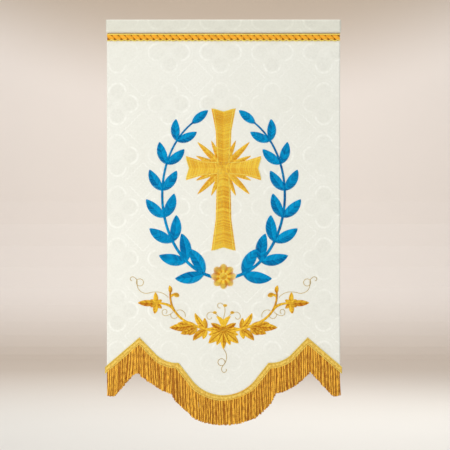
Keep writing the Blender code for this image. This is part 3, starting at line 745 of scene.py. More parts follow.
def strand_tip(x):
    """Z of the strands' lower ends at x."""
    across = abs(x)
    arc = BOWL_RADIUS - math.sqrt(TIP_BOWL_RADIUS**2 - min(across, TIP_BOWL_REACH) ** 2)
    flank = arc + TIP_FLANK_SLOPE * max(0.0, across - TIP_BOWL_REACH)
    step = TIP_STEP_SLOPE * (across - TIP_STEP_X)
    past_shelf = max(0.0, across - TIP_SHELF_X)
    shelf = TIP_SHELF_HEIGHT + TIP_SHELF_RISE * past_shelf**TIP_SHELF_POWER
    outer = max(TIP_PEAK_HEIGHT + TIP_WING_SLOPE * (across - PEAK_X), TIP_CORNER_HEIGHT)
    return BOWL_BOTTOM + min(max(flank, step), shelf, outer)


def strand_tree(material):
    """Hangs a twisted strand from each point, as long and as bent as the point says."""
    tree, given, result = new_tree("hanging_strands", Radius=0.0015, Twist=0.0048)
    line = add(tree, "GeometryNodeCurvePrimitiveLine", {"Start": (0.0, 0.0, 0.0), "End": (0.0, 0.0, -1.0)})
    steps = add(tree, "GeometryNodeResampleCurve", {"Curve": line.outputs["Curve"], "Count": 12})
    along = add(tree, "GeometryNodeSplineParameter").outputs["Factor"]
    kept = stored(tree, steps.outputs["Curve"], "along", along)
    blunt = calc(tree, "SUBTRACT", 1.0, calc(tree, "POWER", along, 14.0))
    thick = calc(tree, "MULTIPLY_ADD", blunt, 0.55, 0.45)
    tapered = add(tree, "GeometryNodeSetCurveRadius", {"Curve": kept, "Radius": thick})
    ring = add(tree, "GeometryNodeCurvePrimitiveCircle", {"Resolution": 6, "Radius": given.outputs["Radius"]})
    around = add(tree, "GeometryNodeSplineParameter").outputs["Factor"]
    rim = stored(tree, ring.outputs["Curve"], "around", around)
    swept = add(
        tree,
        "GeometryNodeCurveToMesh",
        {"Curve": tapered.outputs["Curve"], "Profile Curve": rim, "Fill Caps": True},
    )
    size = add(tree, "ShaderNodeCombineXYZ", {"X": named(tree, "girth"), "Y": 1.0, "Z": named(tree, "drop")})
    hung = add(
        tree,
        "GeometryNodeInstanceOnPoints",
        {"Points": given.outputs["Geometry"], "Instance": swept.outputs["Mesh"], "Scale": size.outputs[0]},
    )
    real = add(tree, "GeometryNodeRealizeInstances", {"Geometry": hung.outputs["Instances"]})
    way = named(tree, "along")
    swing = calc(tree, "MULTIPLY", named(tree, "lean"), calc(tree, "POWER", way, 1.6))
    belly = calc(tree, "MULTIPLY", named(tree, "bow"), calc(tree, "SINE", calc(tree, "MULTIPLY", way, math.pi)))
    sway = add(tree, "ShaderNodeCombineXYZ", {"X": calc(tree, "ADD", swing, belly), "Y": named(tree, "stand_off")})
    bent = add(tree, "GeometryNodeSetPosition", {"Geometry": real.outputs["Geometry"], "Offset": sway.outputs[0]})
    turns = calc(tree, "DIVIDE", calc(tree, "MULTIPLY", way, named(tree, "drop")), given.outputs["Twist"])
    wound = stored(tree, bent.outputs["Geometry"], "wound", calc(tree, "ADD", turns, named(tree, "turn")))
    return dressed(tree, result, wound, material)


def make_bullion():
    """Twisted rayon strands: slanting plies with painted shade in their grooves and painted glints along them, each
    its own tone, with painted shade on the strands that hang in the gaps and in the back row.
    """
    material, tree, shader = new_material("bullion_gold")
    place = add(tree, "ShaderNodeTexCoord").outputs["Object"]
    tone = add(tree, "ShaderNodeAttribute", attribute_name="shade").outputs["Fac"]
    wound = add(tree, "ShaderNodeAttribute", attribute_name="wound").outputs["Fac"]
    around = add(tree, "ShaderNodeAttribute", attribute_name="around").outputs["Fac"]
    ply = calc(tree, "MULTIPLY", calc(tree, "ADD", wound, around), math.tau * 2)
    ridge = calc(tree, "MULTIPLY_ADD", calc(tree, "SINE", ply), 0.5, 0.5)
    # Painted glints: noise drawn out along the strands paints short bright and dark segments, as twisted plies catch
    # the light.
    drawn_out = add(
        tree, "ShaderNodeVectorMath", {0: place, 1: (290.0, 290.0, 75.0)}, operation="MULTIPLY"
    ).outputs[0]
    tone_noise = add(tree, "ShaderNodeTexNoise", {"Vector": drawn_out, "Scale": 1.0, "Detail": 1.0}).outputs["Fac"]
    share = calc(tree, "MULTIPLY", tone, calc(tree, "MULTIPLY_ADD", ramp(tree, tone_noise, 0.3, 0.7), 0.9, 0.40))
    # Painted shade: the colour darkens in the grooves between the plies.
    ridged = calc(tree, "MULTIPLY", share, calc(tree, "MULTIPLY_ADD", ridge, 0.65, 0.60))
    bright = add(tree, "ShaderNodeClamp", {"Value": ridged}).outputs[0]
    colour = mix_colours(tree, bright, (0.24, 0.026, 0.001), (1.0, 0.56, 0.064))
    tree.links.new(colour, shader.inputs["Base Color"])
    bump = add(tree, "ShaderNodeBump", {"Strength": 0.6, "Distance": 0.0005, "Height": ridge})
    tree.links.new(bump.outputs["Normal"], shader.inputs["Normal"])
    shader.inputs["Roughness"].default_value = 0.40
    shader.inputs["Metallic"].default_value = 0.15
    shader.inputs["Specular Tint"].default_value = GOLD_GLOSS
    return material


def make_tape_gold():
    """The heading tape: lengthwise gimp threads, pale in the middle and deeper along both edges."""
    material, tree, shader = new_material("tape_gold")
    place = add(tree, "ShaderNodeTexCoord").outputs["Object"]
    across = add(tree, "ShaderNodeAttribute", attribute_name="across").outputs["Fac"]
    tone_noise = add(tree, "ShaderNodeTexNoise", {"Vector": place, "Scale": 170.0, "Detail": 2.0}).outputs["Fac"]
    threads = calc(tree, "ABSOLUTE", calc(tree, "SINE", calc(tree, "MULTIPLY", across, math.pi * 7)))
    middle = calc(tree, "SINE", calc(tree, "MULTIPLY", across, math.pi))
    share = calc(tree, "MULTIPLY", middle, calc(tree, "MULTIPLY_ADD", threads, 0.45, 0.45))
    mottled = calc(tree, "MULTIPLY", share, calc(tree, "MULTIPLY_ADD", ramp(tree, tone_noise, 0.3, 0.7), 0.8, 0.6))
    bright = add(tree, "ShaderNodeClamp", {"Value": mottled}).outputs[0]
    colour = mix_colours(tree, bright, (0.50, 0.20, 0.006), (0.96, 0.70, 0.15))
    tree.links.new(colour, shader.inputs["Base Color"])
    relief = calc(tree, "ADD", threads, calc(tree, "MULTIPLY", tone_noise, 0.6))
    bump = add(tree, "ShaderNodeBump", {"Strength": 0.7, "Distance": 0.0004, "Height": relief})
    tree.links.new(bump.outputs["Normal"], shader.inputs["Normal"])
    shader.inputs["Roughness"].default_value = 0.48
    shader.inputs["Metallic"].default_value = 0.10
    shader.inputs["Specular Tint"].default_value = GOLD_GLOSS
    return material


def build_tape(material, cords):
    end = CLOTH_WIDTH / 2 + TAPE_OVERHANG
    marks = [-end, -PEAK_X, -SHOULDER_X, 0.0, SHOULDER_X, PEAK_X, end]
    places = spread_between(marks, [44, 50, 66, 66, 50, 44])
    front = PANEL_FRONT - SEWN_GAP - TAPE_THICKNESS

    def place(column, row):
        x = places[column]
        share = row / TAPE_ROWS
        z = scallop(x, TAPE_WIDTH * (1 - share))
        ridge = 0.00022 * abs(math.sin(math.pi * 6 * share))
        return Vector((x, front - ridge + drape(x, z), z))

    bm = mapped_grid(len(places) - 1, TAPE_ROWS, place)
    bmesh.ops.recalc_face_normals(bm, faces=bm.faces)
    tape = object_from(bm, "heading_tape", material)
    if tape.data.polygons[0].normal.y > 0:
        tape.data.flip_normals()
    across = tape.data.attributes.new("across", "FLOAT", "POINT")
    for vertex, value in zip(tape.data.vertices, across.data):
        top = scallop(vertex.co.x)
        value.value = (top - vertex.co.z) / (top - scallop(vertex.co.x, TAPE_WIDTH))
    thicken = tape.modifiers.new("cloth", "SOLIDIFY")
    thicken.thickness = TAPE_THICKNESS
    thicken.offset = -1.0
    tape.data.shade_smooth()
    fit_piece(tape, "gold_trim", "fringe")

    chains = []
    for inset in (TAPE_CORD_RADIUS * 0.9, TAPE_WIDTH - TAPE_CORD_RADIUS * 0.9):
        chain = []
        for x in places:
            z = scallop(x, inset)
            chain.append(Vector((x, front - TAPE_CORD_RADIUS * 0.5 + drape(x, z), z)))
        chains.append(chain)
    edging = grown(
        chain_object("tape_cords", chains), cords, Radius=TAPE_CORD_RADIUS, Twist=0.0046, Step=0.0009
    )
    fit_piece(edging, "gold_trim", "fringe")
    return [tape, edging]


def point_object(name, places, **values):
    """An object of loose points, each with a number or a vector under each name."""
    mesh = bpy.data.meshes.new(name)
    mesh.from_pydata(places, [], [])
    for title, numbers in values.items():
        if isinstance(numbers[0], Vector):
            kept = mesh.attributes.new(title, "FLOAT_VECTOR", "POINT")
            kept.data.foreach_set("vector", [part for number in numbers for part in number])
        else:
            kept = mesh.attributes.new(title, "FLOAT", "POINT")
            kept.data.foreach_set("value", numbers)
    made = bpy.data.objects.new(name, mesh)
    bpy.context.scene.collection.objects.link(made)
    return made


def build_strands(name, tree, row, seed):
    """One row of strands: row 0 hangs in front and row 1 behind it, half a strand to the side.
    In the front row every other strand hangs a little deeper and is painted darker, and so is the back row: painted
    shade in the gaps between the bright strands."""
    uneven = random.Random(seed)
    pitch = CLOTH_WIDTH / STRAND_COUNT
    places = []
    values = {title: [] for title in ("drop", "lean", "bow", "stand_off", "shade", "turn", "girth")}
    clump = 0.0
    deep = 0
    for strand in range(STRAND_COUNT - row):
        x = pitch * (strand + 0.5 * (1 + row)) - CLOTH_WIDTH / 2
        root = scallop(x, TAPE_WIDTH - 0.0022)
        tip = strand_tip(x) + uneven.uniform(0, STRAND_UNEVEN)
        if uneven.random() < 0.28:
            clump = uneven.uniform(-0.0028, 0.0028) * (1 - row)
        past_peak = math.tau * (abs(x) - PEAK_X) / STRAND_LEAN_LENGTH
        swing = STRAND_LEAN * math.copysign(math.sin(past_peak), x)
        places.append(Vector((x, PANEL_FRONT - SEWN_GAP - 0.0012 + 0.0013 * row + drape(x, root), root)))
        values["drop"].append(root - tip)
        if x < 0 and past_peak < 0:
            swing = -swing
        values["lean"].append(swing + clump + uneven.uniform(-0.0015, 0.0015) * (1 - row))
        values["bow"].append(uneven.uniform(-0.0016, 0.0016) * (1 - 0.7 * row))
        if uneven.random() < 0.85:
            deep = 1 - deep
        values["stand_off"].append(uneven.uniform(-0.0005, 0.0002) + 0.0007 * deep * (1 - row))
        # Painted shade: the deeper strands and the back row get a dark shade that stands for the shadow in the gaps.
        values["shade"].append(uneven.uniform(0.85, 1.25) * (0.36 if deep or row else 1.06))
        values["turn"].append(uneven.random())
        values["girth"].append(uneven.uniform(0.95, 1.15) * (1.35 if row else 1.22 - 0.24 * deep))
    strands = grown(point_object(name, places, **values), tree, Radius=STRAND_WIDTH / 2, Twist=STRAND_TWIST)
    fit_piece(strands, "gold_trim", "fringe")
    return strands


trims += build_tape(make_tape_gold(), cords)
strands = strand_tree(make_bullion())
trims.append(build_strands("strands_front", strands, 0, 11))
trims.append(build_strands("strands_back", strands, 1, 12))


# The cross. Satin stitch over padding: gold threads lie side by side, slanting from the middle
# line of each arm to its edge, and a twisted cord is couched round the outline. Four groups of
# rays come out from under it.
CROSS_CENTRE = -0.445
CROSS_ARMS = {"up": 0.178, "side": 0.112, "down": 0.246}
CROSS_BELLY = 0.0192
CROSS_BELLY_PLACE = 0.62
CROSS_END = 0.0300
CROSS_NOTCH = 0.009
CROSS_CORNER = 0.0165
COUCHED_LIFT = 0.0014
RAYS = (
    {"angle": 24, "length": 0.090, "width": 0.0115},
    {"angle": 45, "length": 0.110, "width": 0.0140},
    {"angle": 66, "length": 0.090, "width": 0.0115},
)
LEAF_FULLNESS = 0.8
LEAF_BELLY = 0.85
THREAD_PITCH = 0.00092
THREAD_WIDTH = 0.00175
PADDING = 0.0019
LIGHT_TURN = math.radians(62)
MEAN_SHADE = 0.60
SHADE_SWING = 0.24
SHADE_SPREAD = 0.34
thread_lots = random.Random(5)
thread_run = []


def satin_tree(material):
    """Lays one arched thread on each point, with the point's angle and size."""
    tree, given, result = new_tree("satin_stitch", Valley=0.18)
    line = add(tree, "GeometryNodeCurvePrimitiveLine", {"Start": (-0.5, 0.0, 0.0), "End": (0.5, 0.0, 0.0)})
    steps = add(tree, "GeometryNodeResampleCurve", {"Curve": line.outputs["Curve"], "Count": 6})
    along = add(tree, "GeometryNodeSplineParameter").outputs["Factor"]
    swell = calc(tree, "POWER", calc(tree, "SINE", calc(tree, "MULTIPLY", along, math.pi)), 0.6)
    rise = calc(tree, "MULTIPLY", calc(tree, "MAXIMUM", swell, given.outputs["Valley"]), 0.72)
    lift = add(tree, "ShaderNodeCombineXYZ", {"Z": rise}).outputs[0]
    arch = add(tree, "GeometryNodeSetPosition", {"Geometry": steps.outputs["Curve"], "Offset": lift})
    flat = add(tree, "GeometryNodeCurvePrimitiveCircle", {"Resolution": 3, "Radius": 0.5})
    tipped = add(
        tree,
        "GeometryNodeTransform",
        {"Geometry": flat.outputs["Curve"], "Rotation": (0.0, 0.0, math.pi / 2), "Scale": (1.0, 0.52, 1.0)},
    )
    swept = add(
        tree,
        "GeometryNodeCurveToMesh",
        {"Curve": arch.outputs["Geometry"], "Profile Curve": tipped.outputs["Geometry"], "Fill Caps": True},
    )
    turn = add(tree, "ShaderNodeCombineXYZ", {"Z": named(tree, "angle")})
    laid = add(
        tree,
        "GeometryNodeInstanceOnPoints",
        {
            "Points": given.outputs["Geometry"],
            "Instance": swept.outputs["Mesh"],
            "Rotation": turn.outputs[0],
            "Scale": named(tree, "size", "FLOAT_VECTOR"),
        },
    )
    real = add(tree, "GeometryNodeRealizeInstances", {"Geometry": laid.outputs["Instances"]})
    hung = add(
        tree,
        "GeometryNodeTransform",
        {
            "Geometry": real.outputs["Geometry"],
            "Translation": (0.0, PANEL_FRONT, 0.0),
            "Rotation": (math.pi / 2, 0.0, 0.0),
        },
    )
    return dressed(tree, result, hung.outputs["Geometry"], material)


def make_thread(name, deep, bright, gloss, metallic):
    """Embroidery thread with a silky gloss and a painted sheen: its colour runs from deep to bright with each
    stitch's shade, which is lighter or darker by the way the stitch lies to the light.
    """
    material, tree, shader = new_material(name)
    place = add(tree, "ShaderNodeTexCoord").outputs["Object"]
    tone = add(tree, "ShaderNodeAttribute", attribute_name="shade").outputs["Fac"]
    tone_noise = add(tree, "ShaderNodeTexNoise", {"Vector": place, "Scale": 150.0, "Detail": 3.0}).outputs["Fac"]
    share = calc(tree, "ADD", tone, calc(tree, "MULTIPLY_ADD", tone_noise, 0.5, -0.25))
    colour = mix_colours(tree, add(tree, "ShaderNodeClamp", {"Value": share}).outputs[0], deep, bright)
    tree.links.new(colour, shader.inputs["Base Color"])
    fibres = add(tree, "ShaderNodeTexNoise", {"Vector": place, "Scale": 2600.0, "Detail": 1.0})
    bump = add(tree, "ShaderNodeBump", {"Strength": 0.4, "Distance": 0.0002, "Height": fibres.outputs["Fac"]})
    tree.links.new(bump.outputs["Normal"], shader.inputs["Normal"])
    shader.inputs["Roughness"].default_value = 0.35
    shader.inputs["Metallic"].default_value = metallic
    shader.inputs["Specular Tint"].default_value = gloss
    return material


def next_lot():
    """How much lighter or darker the next thread is. A few threads laid one after the other agree."""
    if not thread_run:
        thread_run.extend([thread_lots.uniform(-SHADE_SPREAD, SHADE_SPREAD)] * thread_lots.randint(2, 7))
    return thread_run.pop()


def stitch(start, end, rise=PADDING, width=THREAD_WIDTH, tone=0.0):
    """One thread from start to end, as its middle, angle, size and shade. The shade is painted sheen by the angle at
    which the thread lies to the light, plus its thread lot and tone.
    """
    along = end - start
    angle = math.atan2(along.y, along.x)
    # Painted sheen: the shade swings with the thread's angle to LIGHT_TURN, as satin catches the light.
    shade = MEAN_SHADE + SHADE_SWING * math.cos(2 * (angle - LIGHT_TURN)) + next_lot() + tone
    return (start + end) / 2, angle, Vector((along.length, width, rise)), shade


def sewn(name, stitches, tree, slot, *nodes):
    """A piece of embroidery from its stitches, laid on the soft waves of the cloth."""
    middles, angles, sizes, shades = zip(*stitches)
    points = [Vector((middle.x, middle.y, 0.0)) for middle in middles]
    piece = point_object(name, points, angle=angles, size=sizes, shade=shades)
    grown(piece, tree)
    for vertex in piece.data.vertices:
        vertex.co.y += drape(vertex.co.x, vertex.co.z)
    fit_piece(piece, slot, *nodes)
    return piece


def heading(angle):
    return Vector((math.cos(angle), math.sin(angle)))


def leaf_spine(root, angle, length, bend, t):
    """The place on a bent leaf's midrib at t from its root to its tip, and its direction there."""
    turn = angle + bend * (t - 0.5)
    if abs(bend) < 1e-6:
        return root + heading(angle) * length * t, turn
    start = angle - bend * 0.5
    radius = length / bend
    return root + radius * Vector((math.sin(turn) - math.sin(start), math.cos(start) - math.cos(turn))), turn


def leaf_half(width, t):
    return width / 2 * math.sin(math.pi * min(1.0, max(0.0, t)) ** LEAF_BELLY) ** LEAF_FULLNESS


def leaf_stitches(root, angle, length, width, bend=0.0, start=0.0, tone=0.0):
    """Two rows of slanting threads that meet along the midrib of a pointed leaf."""
    root = Vector(root)
    stitches = []
    count = max(4, round(length / THREAD_PITCH))
    for step in range(count):
        t = start + (1 - start) * (step + 0.3) / count
        inner, _ = leaf_spine(root, angle, length, bend, t)
        tip = min(0.995, t + 0.9 * leaf_half(width, t) / length)
        outer, turn = leaf_spine(root, angle, length, bend, tip)
        half = leaf_half(width, tip) + 0.00035
        rise = PADDING * min(1.0, 0.35 + half / 0.006)
        for side in (1, -1):
            aside = heading(turn + side * math.pi / 2)
            stitches.append(stitch(inner - aside * 0.0003, outer + aside * half, rise, tone=tone))
    return stitches


def arm_half(reach, s):
    """Half the width of a cross arm at s from the middle of the cross."""
    belly = reach * CROSS_BELLY_PLACE
    if s < CROSS_CORNER:
        return s
    if s < belly:
        return CROSS_CORNER + (CROSS_BELLY - CROSS_CORNER) * (s - CROSS_CORNER) / (belly - CROSS_CORNER)
    return CROSS_BELLY + (CROSS_END - CROSS_BELLY) * (min(s, reach) - belly) / (reach - belly)


def cross_stitches():
    """Threads of the four arms, each slanting outwards from the arm's middle line to its edge."""
    stitches = []
    centre = Vector((0.0, CROSS_CENTRE))
    lead = CROSS_NOTCH / CROSS_END
    for quarter, arm in enumerate(("side", "up", "side", "down")):
        reach = CROSS_ARMS[arm]
        outwards = heading(quarter * math.pi / 2)
        count = round(reach / THREAD_PITCH)
        for step in range(count):
            s = (reach - CROSS_NOTCH) * (step + 0.5) / count
            tip = min(reach, s + lead * arm_half(reach, s))
            half = arm_half(reach, tip)
            for side in (1, -1):
                aside = heading((quarter + side) * math.pi / 2)
                inner = centre + outwards * s - aside * 0.0003
                outer = centre + outwards * tip + aside * half
                # The up and down arms get a lighter tone, to even out the painted sheen on their near-level threads.
                stitches.append(stitch(inner, outer, PADDING * 1.1, tone=0.0 if arm == "side" else 0.16))
    return stitches


def cross_outline():
    """The corners of the cross, in order round it."""
    centre = Vector((0.0, CROSS_CENTRE))
    outline = []
    for quarter, arm in enumerate(("side", "up", "side", "down")):
        reach = CROSS_ARMS[arm]
        belly = reach * CROSS_BELLY_PLACE
        turn = Matrix.Rotation(quarter * math.pi / 2, 2)
        corners = [
            (belly, -CROSS_BELLY),
            (reach, -CROSS_END),
            (reach - CROSS_NOTCH, 0.0),
            (reach, CROSS_END),
            (belly, CROSS_BELLY),
            (CROSS_CORNER, CROSS_CORNER),
        ]
        outline += [centre + turn @ Vector(corner) for corner in corners]
    return outline + outline[:1]


def ray_stitches():
    """Threads of the rays between the arms, from where they come out from under the cross."""
    stitches = []
    for quarter in range(4):
        for ray in RAYS:
            angle = math.radians(90 * quarter + ray["angle"])
            hidden = 0.020 / ray["length"]
            stitches += leaf_stitches((0.0, CROSS_CENTRE), angle, ray["length"], ray["width"], start=hidden)
    return stitches


def couched(name, paths, radius, cords, slot, *nodes, lift=COUCHED_LIFT):
    """Twisted cords laid along paths on the cloth or on the stitches, lifted off the cloth's face."""
    chains = []
    for path in paths:
        chains.append([Vector((p.x, PANEL_FRONT - lift + drape(p.x, p.y), p.y)) for p in path])
    piece = grown(chain_object(name, chains), cords, Radius=radius, Twist=0.0034, Step=0.0007)
    fit_piece(piece, slot, *nodes)
    return piece


light_thread = make_thread("light_gold_thread", (0.72, 0.25, 0.004), (1.0, 0.68, 0.070), GOLD_GLOSS, 0.0)
light_stitch = satin_tree(light_thread)
embroidery = [
    sewn("cross_satin", cross_stitches(), light_stitch, "gold_thread", "cross"),
    sewn("cross_rays", ray_stitches(), light_stitch, "gold_thread", "cross"),
    couched("cross_outline", [cross_outline()], 0.0013, cords, "gold_thread", "cross"),
]


# The laurel. Two branches in blue satin stitch rise on both sides of the cross from the rosette:
# a stem of slanting threads, and pointed leaves in pairs with threads laid from the midrib out.
WREATH_CENTRE = -0.525
WREATH_HALF_WIDTH = 0.184
WREATH_HALF_HEIGHT = 0.250
WREATH_START = math.radians(-78)
WREATH_END = math.radians(60)
LEAF_PAIRS = 7
LEAF_LENGTH = 0.088
LEAF_WIDTH = 0.0285
LEAF_TURN = math.radians(34)
LEAF_BEND = math.radians(24)
LEAF_SHRINK = 0.30
STEM_WIDTH = 0.0062
STEM_SLANT = math.radians(40)
BLUE_GLOSS = (0.10, 0.65, 1.0, 1.0)


def wreath_point(angle, side):
    """A place on the wreath's oval, and the direction in which the branch grows there."""
    place = Vector((side * WREATH_HALF_WIDTH * math.cos(angle), WREATH_CENTRE + WREATH_HALF_HEIGHT * math.sin(angle)))
    growth = math.atan2(WREATH_HALF_HEIGHT * math.cos(angle), -side * WREATH_HALF_WIDTH * math.sin(angle))
    return place, growth


def band_stitches(path, width, slant, rise=PADDING, tone=0.0, taper=0.5):
    """Slanting threads across a band that follows a path of places, narrower towards its end."""
    lengths = [0.0]
    for first, second in zip(path, path[1:]):
        lengths.append(lengths[-1] + (second - first).length)
    stitches = []
    count = max(3, round(lengths[-1] / THREAD_PITCH))
    piece = 0
    for step in range(count + 1):
        s = lengths[-1] * step / count
        while piece < len(path) - 2 and lengths[piece + 1] < s:
            piece += 1
        run = path[piece + 1] - path[piece]
        place = path[piece] + run * ((s - lengths[piece]) / max(1e-9, run.length))
        half = width / 2 * (1 - taper * step / count) + 0.0002
        across = heading(math.atan2(run.y, run.x) + math.pi / 2 - slant) * half / math.cos(slant)
        stitches.append(stitch(place - across, place + across, rise, tone=tone))
    return stitches


def laurel_stitches(side):
    reach = WREATH_END - WREATH_START
    stitches = []
    for pair in range(LEAF_PAIRS + 1):
        root, growth = wreath_point(WREATH_START + reach * (pair + 0.35) / (LEAF_PAIRS + 0.4), side)
        size = 1 - LEAF_SHRINK * pair / LEAF_PAIRS
        for turn in (1, -1) if pair < LEAF_PAIRS else (0,):
            angle = growth + turn * LEAF_TURN
            stitches += leaf_stitches(root, angle, LEAF_LENGTH * size, LEAF_WIDTH * size, -turn * LEAF_BEND)
    path = [wreath_point(WREATH_START + reach * step / 120, side)[0] for step in range(121)]
    stitches += band_stitches(path, STEM_WIDTH, side * STEM_SLANT, PADDING * 1.25, -0.15)
    return stitches


blue_thread = make_thread("blue_thread", (0.0, 0.095, 0.31), (0.0, 0.36, 0.70), BLUE_GLOSS, 0.0)
blue_stitch = satin_tree(blue_thread)
embroidery.append(sewn("laurel_left_satin", laurel_stitches(-1), blue_stitch, "blue_thread", "laurel_left"))
embroidery.append(sewn("laurel_right_satin", laurel_stitches(1), blue_stitch, "blue_thread", "laurel_right"))


# The rosette. A round flower of eight gold petals where the two branches meet, worked in threads
# that run out from a raised heart with a cord round it.
ROSETTE_CENTRE = -0.770
ROSETTE_RADIUS = 0.033
ROSETTE_PETALS = 8
ROSETTE_WAIST = 0.80
ROSETTE_HEART = 0.0110


def circle_path(centre, radius, count=48):
    return [centre + heading(math.tau * step / count) * radius for step in range(count + 1)]


def disc_stitches(centre, radius, slant, rise=PADDING, tone=0.0):
    """Parallel threads that fill a disc."""
    stitches = []
    count = round(2 * radius / THREAD_PITCH)
    for step in range(count):
        off = radius * (2 * (step + 0.5) / count - 1)
        half = math.sqrt(radius**2 - off**2)
        middle = centre + heading(slant + math.pi / 2) * off
        along = heading(slant) * half
        stitches.append(stitch(middle - along, middle + along, rise * math.sqrt(half / radius), tone=tone))
    return stitches


def rosette_stitches():
    centre = Vector((0.0, ROSETTE_CENTRE))
    stitches = []
    count = round(math.tau * ROSETTE_RADIUS * 0.62 / THREAD_PITCH)
    for step in range(count):
        angle = math.tau * step / count
        lobe = abs(math.cos(ROSETTE_PETALS / 2 * angle))
        rim = ROSETTE_RADIUS * (ROSETTE_WAIST + (1 - ROSETTE_WAIST) * lobe)
        out = heading(angle)
        rise = PADDING * (0.45 + 0.75 * lobe)
        start = centre + out * (ROSETTE_HEART - 0.0010)
        # Painted shade: the tone darkens the threads in the grooves between the petals and lightens them on the
        # lobes.
        stitches.append(stitch(start, centre + out * rim, rise, THREAD_WIDTH, 1.1 * (lobe - 0.62)))
    return stitches + disc_stitches(centre, ROSETTE_HEART, math.radians(30), PADDING * 1.3)


embroidery.append(sewn("rosette_satin", rosette_stitches(), light_stitch, "gold_thread", "rosette"))
rosette_rings = [circle_path(Vector((0.0, ROSETTE_CENTRE)), ROSETTE_HEART)]
embroidery.append(couched("rosette_rings", rosette_rings, 0.0012, cords, "gold_thread", "rosette"))


# The garland. A swag of leaves, shoots and star flowers on both sides of one blossom, in gold
# satin stitch, with thin tendrils in stem stitch that curl out of it over the cloth.
GARLAND_STEM = ((0.020, -0.934), (0.110, -0.920), (0.166, -0.888), (0.1595, -0.812))
GARLAND_SHOOT = ((0.158, -0.857), (0.176, -0.849), (0.202, -0.851))
SHOOT_PLACE = 0.70
GARLAND_STEM_WIDTH = 0.0060
GARLAND_LEAVES = (
    {"along": 0.24, "angle": -2, "length": 0.083, "width": 0.021, "bend": 0, "tone": -0.12},
    {"along": 0.24, "angle": 10, "length": 0.060, "width": 0.015, "bend": -10, "tone": -0.1},
    {"along": 0.24, "angle": -23, "length": 0.054, "width": 0.017, "bend": 12, "tone": -0.05},
    {"along": 0.24, "angle": -44, "length": 0.036, "width": 0.013, "bend": 10, "tone": -0.2},
    {"along": 0.12, "angle": 54, "length": 0.060, "width": 0.014, "bend": 35, "tone": 0.22},
    {"along": 0.12, "angle": 80, "length": 0.034, "width": 0.011, "bend": 20, "tone": 0.1},
    {"along": 0.12, "angle": -40, "length": 0.053, "width": 0.016, "bend": -32, "tone": -0.05},
    {"along": 0.12, "angle": -72, "length": 0.031, "width": 0.012, "bend": -15, "tone": 0.2},
    {"along": 0.90, "angle": 150, "length": 0.020, "width": 0.0055, "bend": 80, "tone": 0.05},
    {"along": 0.96, "angle": 84, "length": 0.024, "width": 0.009, "bend": -35, "tone": 0.15},
)
GARLAND_BUD = {"along": 0.90, "angle": 156, "reach": 0.0197, "radius": 0.0066}
STAR_HEART = 0.0050
STAR_PETALS = (
    {"angle": 86, "length": 0.033, "width": 0.011, "bend": 0, "tone": 0.2},
    {"angle": -82, "length": 0.031, "width": 0.012, "bend": 0, "tone": 0.05},
    {"angle": 148, "length": 0.020, "width": 0.009, "bend": 0, "tone": 0.15},
    {"angle": -138, "length": 0.022, "width": 0.009, "bend": 0, "tone": -0.1},
    {"angle": 33, "length": 0.021, "width": 0.009, "bend": 0, "tone": 0.1},
    {"angle": -31, "length": 0.020, "width": 0.009, "bend": 0, "tone": 0.0},
    {"angle": 2, "length": 0.055, "width": 0.015, "bend": 0, "tone": -0.22},
)
BLOSSOM_CENTRE = -0.930
BLOSSOM_HEART = 0.012
BLOSSOM_KEEL = {"angle": -90, "length": 0.058, "width": 0.015, "bend": 0, "tone": 0.12}
BLOSSOM_PETALS = (
    {"angle": -66, "length": 0.050, "width": 0.014, "bend": 0, "tone": 0.36},
    {"angle": -42, "length": 0.060, "width": 0.019, "bend": 0, "tone": 0.22},
    {"angle": -19, "length": 0.047, "width": 0.014, "bend": 8, "tone": 0.25},
    {"angle": 3, "length": 0.050, "width": 0.013, "bend": 12, "tone": -0.15},
    {"angle": 28, "length": 0.042, "width": 0.013, "bend": 10, "tone": -0.12},
    {"angle": 62, "length": 0.048, "width": 0.0115, "bend": -66, "tone": 0.50},
)
VEIN_WIDTH = 0.0019
VEINED_WIDTH = 0.0125
TENDRIL_RADIUS = 0.0009
OUTER_CURL = ((0.038, -47), (0.025, -20), (0.055, 114), (0.022, -72), (0.013, -95), (0.010, -120))
TENDRILS = (
    {"x": 0.166, "z": -0.833, "angle": 50, "arcs": OUTER_CURL},
    {"x": 0.151, "z": -0.876, "angle": -50, "arcs": ((0.026, 44), (0.026, 150), (0.022, 190))},
    {"x": 0.158, "z": -0.881, "angle": -66, "arcs": ((0.050, -262),)},
    {"x": 0.141, "z": -0.873, "angle": 148, "arcs": ((0.042, 140),)},
    {"x": 0.008, "z": -0.904, "angle": 74, "arcs": ((0.032, -46), (0.009, -20), (0.026, -120), (0.019, -150))},
)
TENDRIL_LOOP = {"x": 0.2510, "z": -0.7880, "radius": 0.0107}
MIDDLE_TENDRILS = (
    {"x": -0.001, "z": -0.907, "angle": 88, "arcs": ((0.020, -14), (0.022, 22), (0.020, 62), (0.028, 210))},
    {"x": 0.000, "z": -0.988, "angle": -48, "arcs": ((0.050, -80), (0.008, 0), (0.016, 73), (0.021, 175))},
)
MIDDLE_LOOP = {"x": -0.0063, "z": -1.0274, "radius": 0.0105}
BUD_DOTS = ((0.0047, -0.8571), (0.0262, -0.8783), (-0.0262, -0.8783))
BUD_DOT_RADIUS = 0.0042


def bezier(ends, t):
    """The place at t along a cubic curve in X and Z."""
    first, second, third, last = (Vector(end) for end in ends)
    u = 1 - t
    return first * u**3 + second * 3 * u * u * t + third * 3 * u * t * t + last * t**3


def bezier_path(ends, count=40):
    return [bezier(ends, step / count) for step in range(count + 1)]


def mirrored(stitches):
    """The stitches and their mirror images about the banner's middle."""
    both = list(stitches)
    for middle, angle, size, shade in stitches:
        both.append((Vector((-middle.x, middle.y)), math.pi - angle, size, shade))
    return both


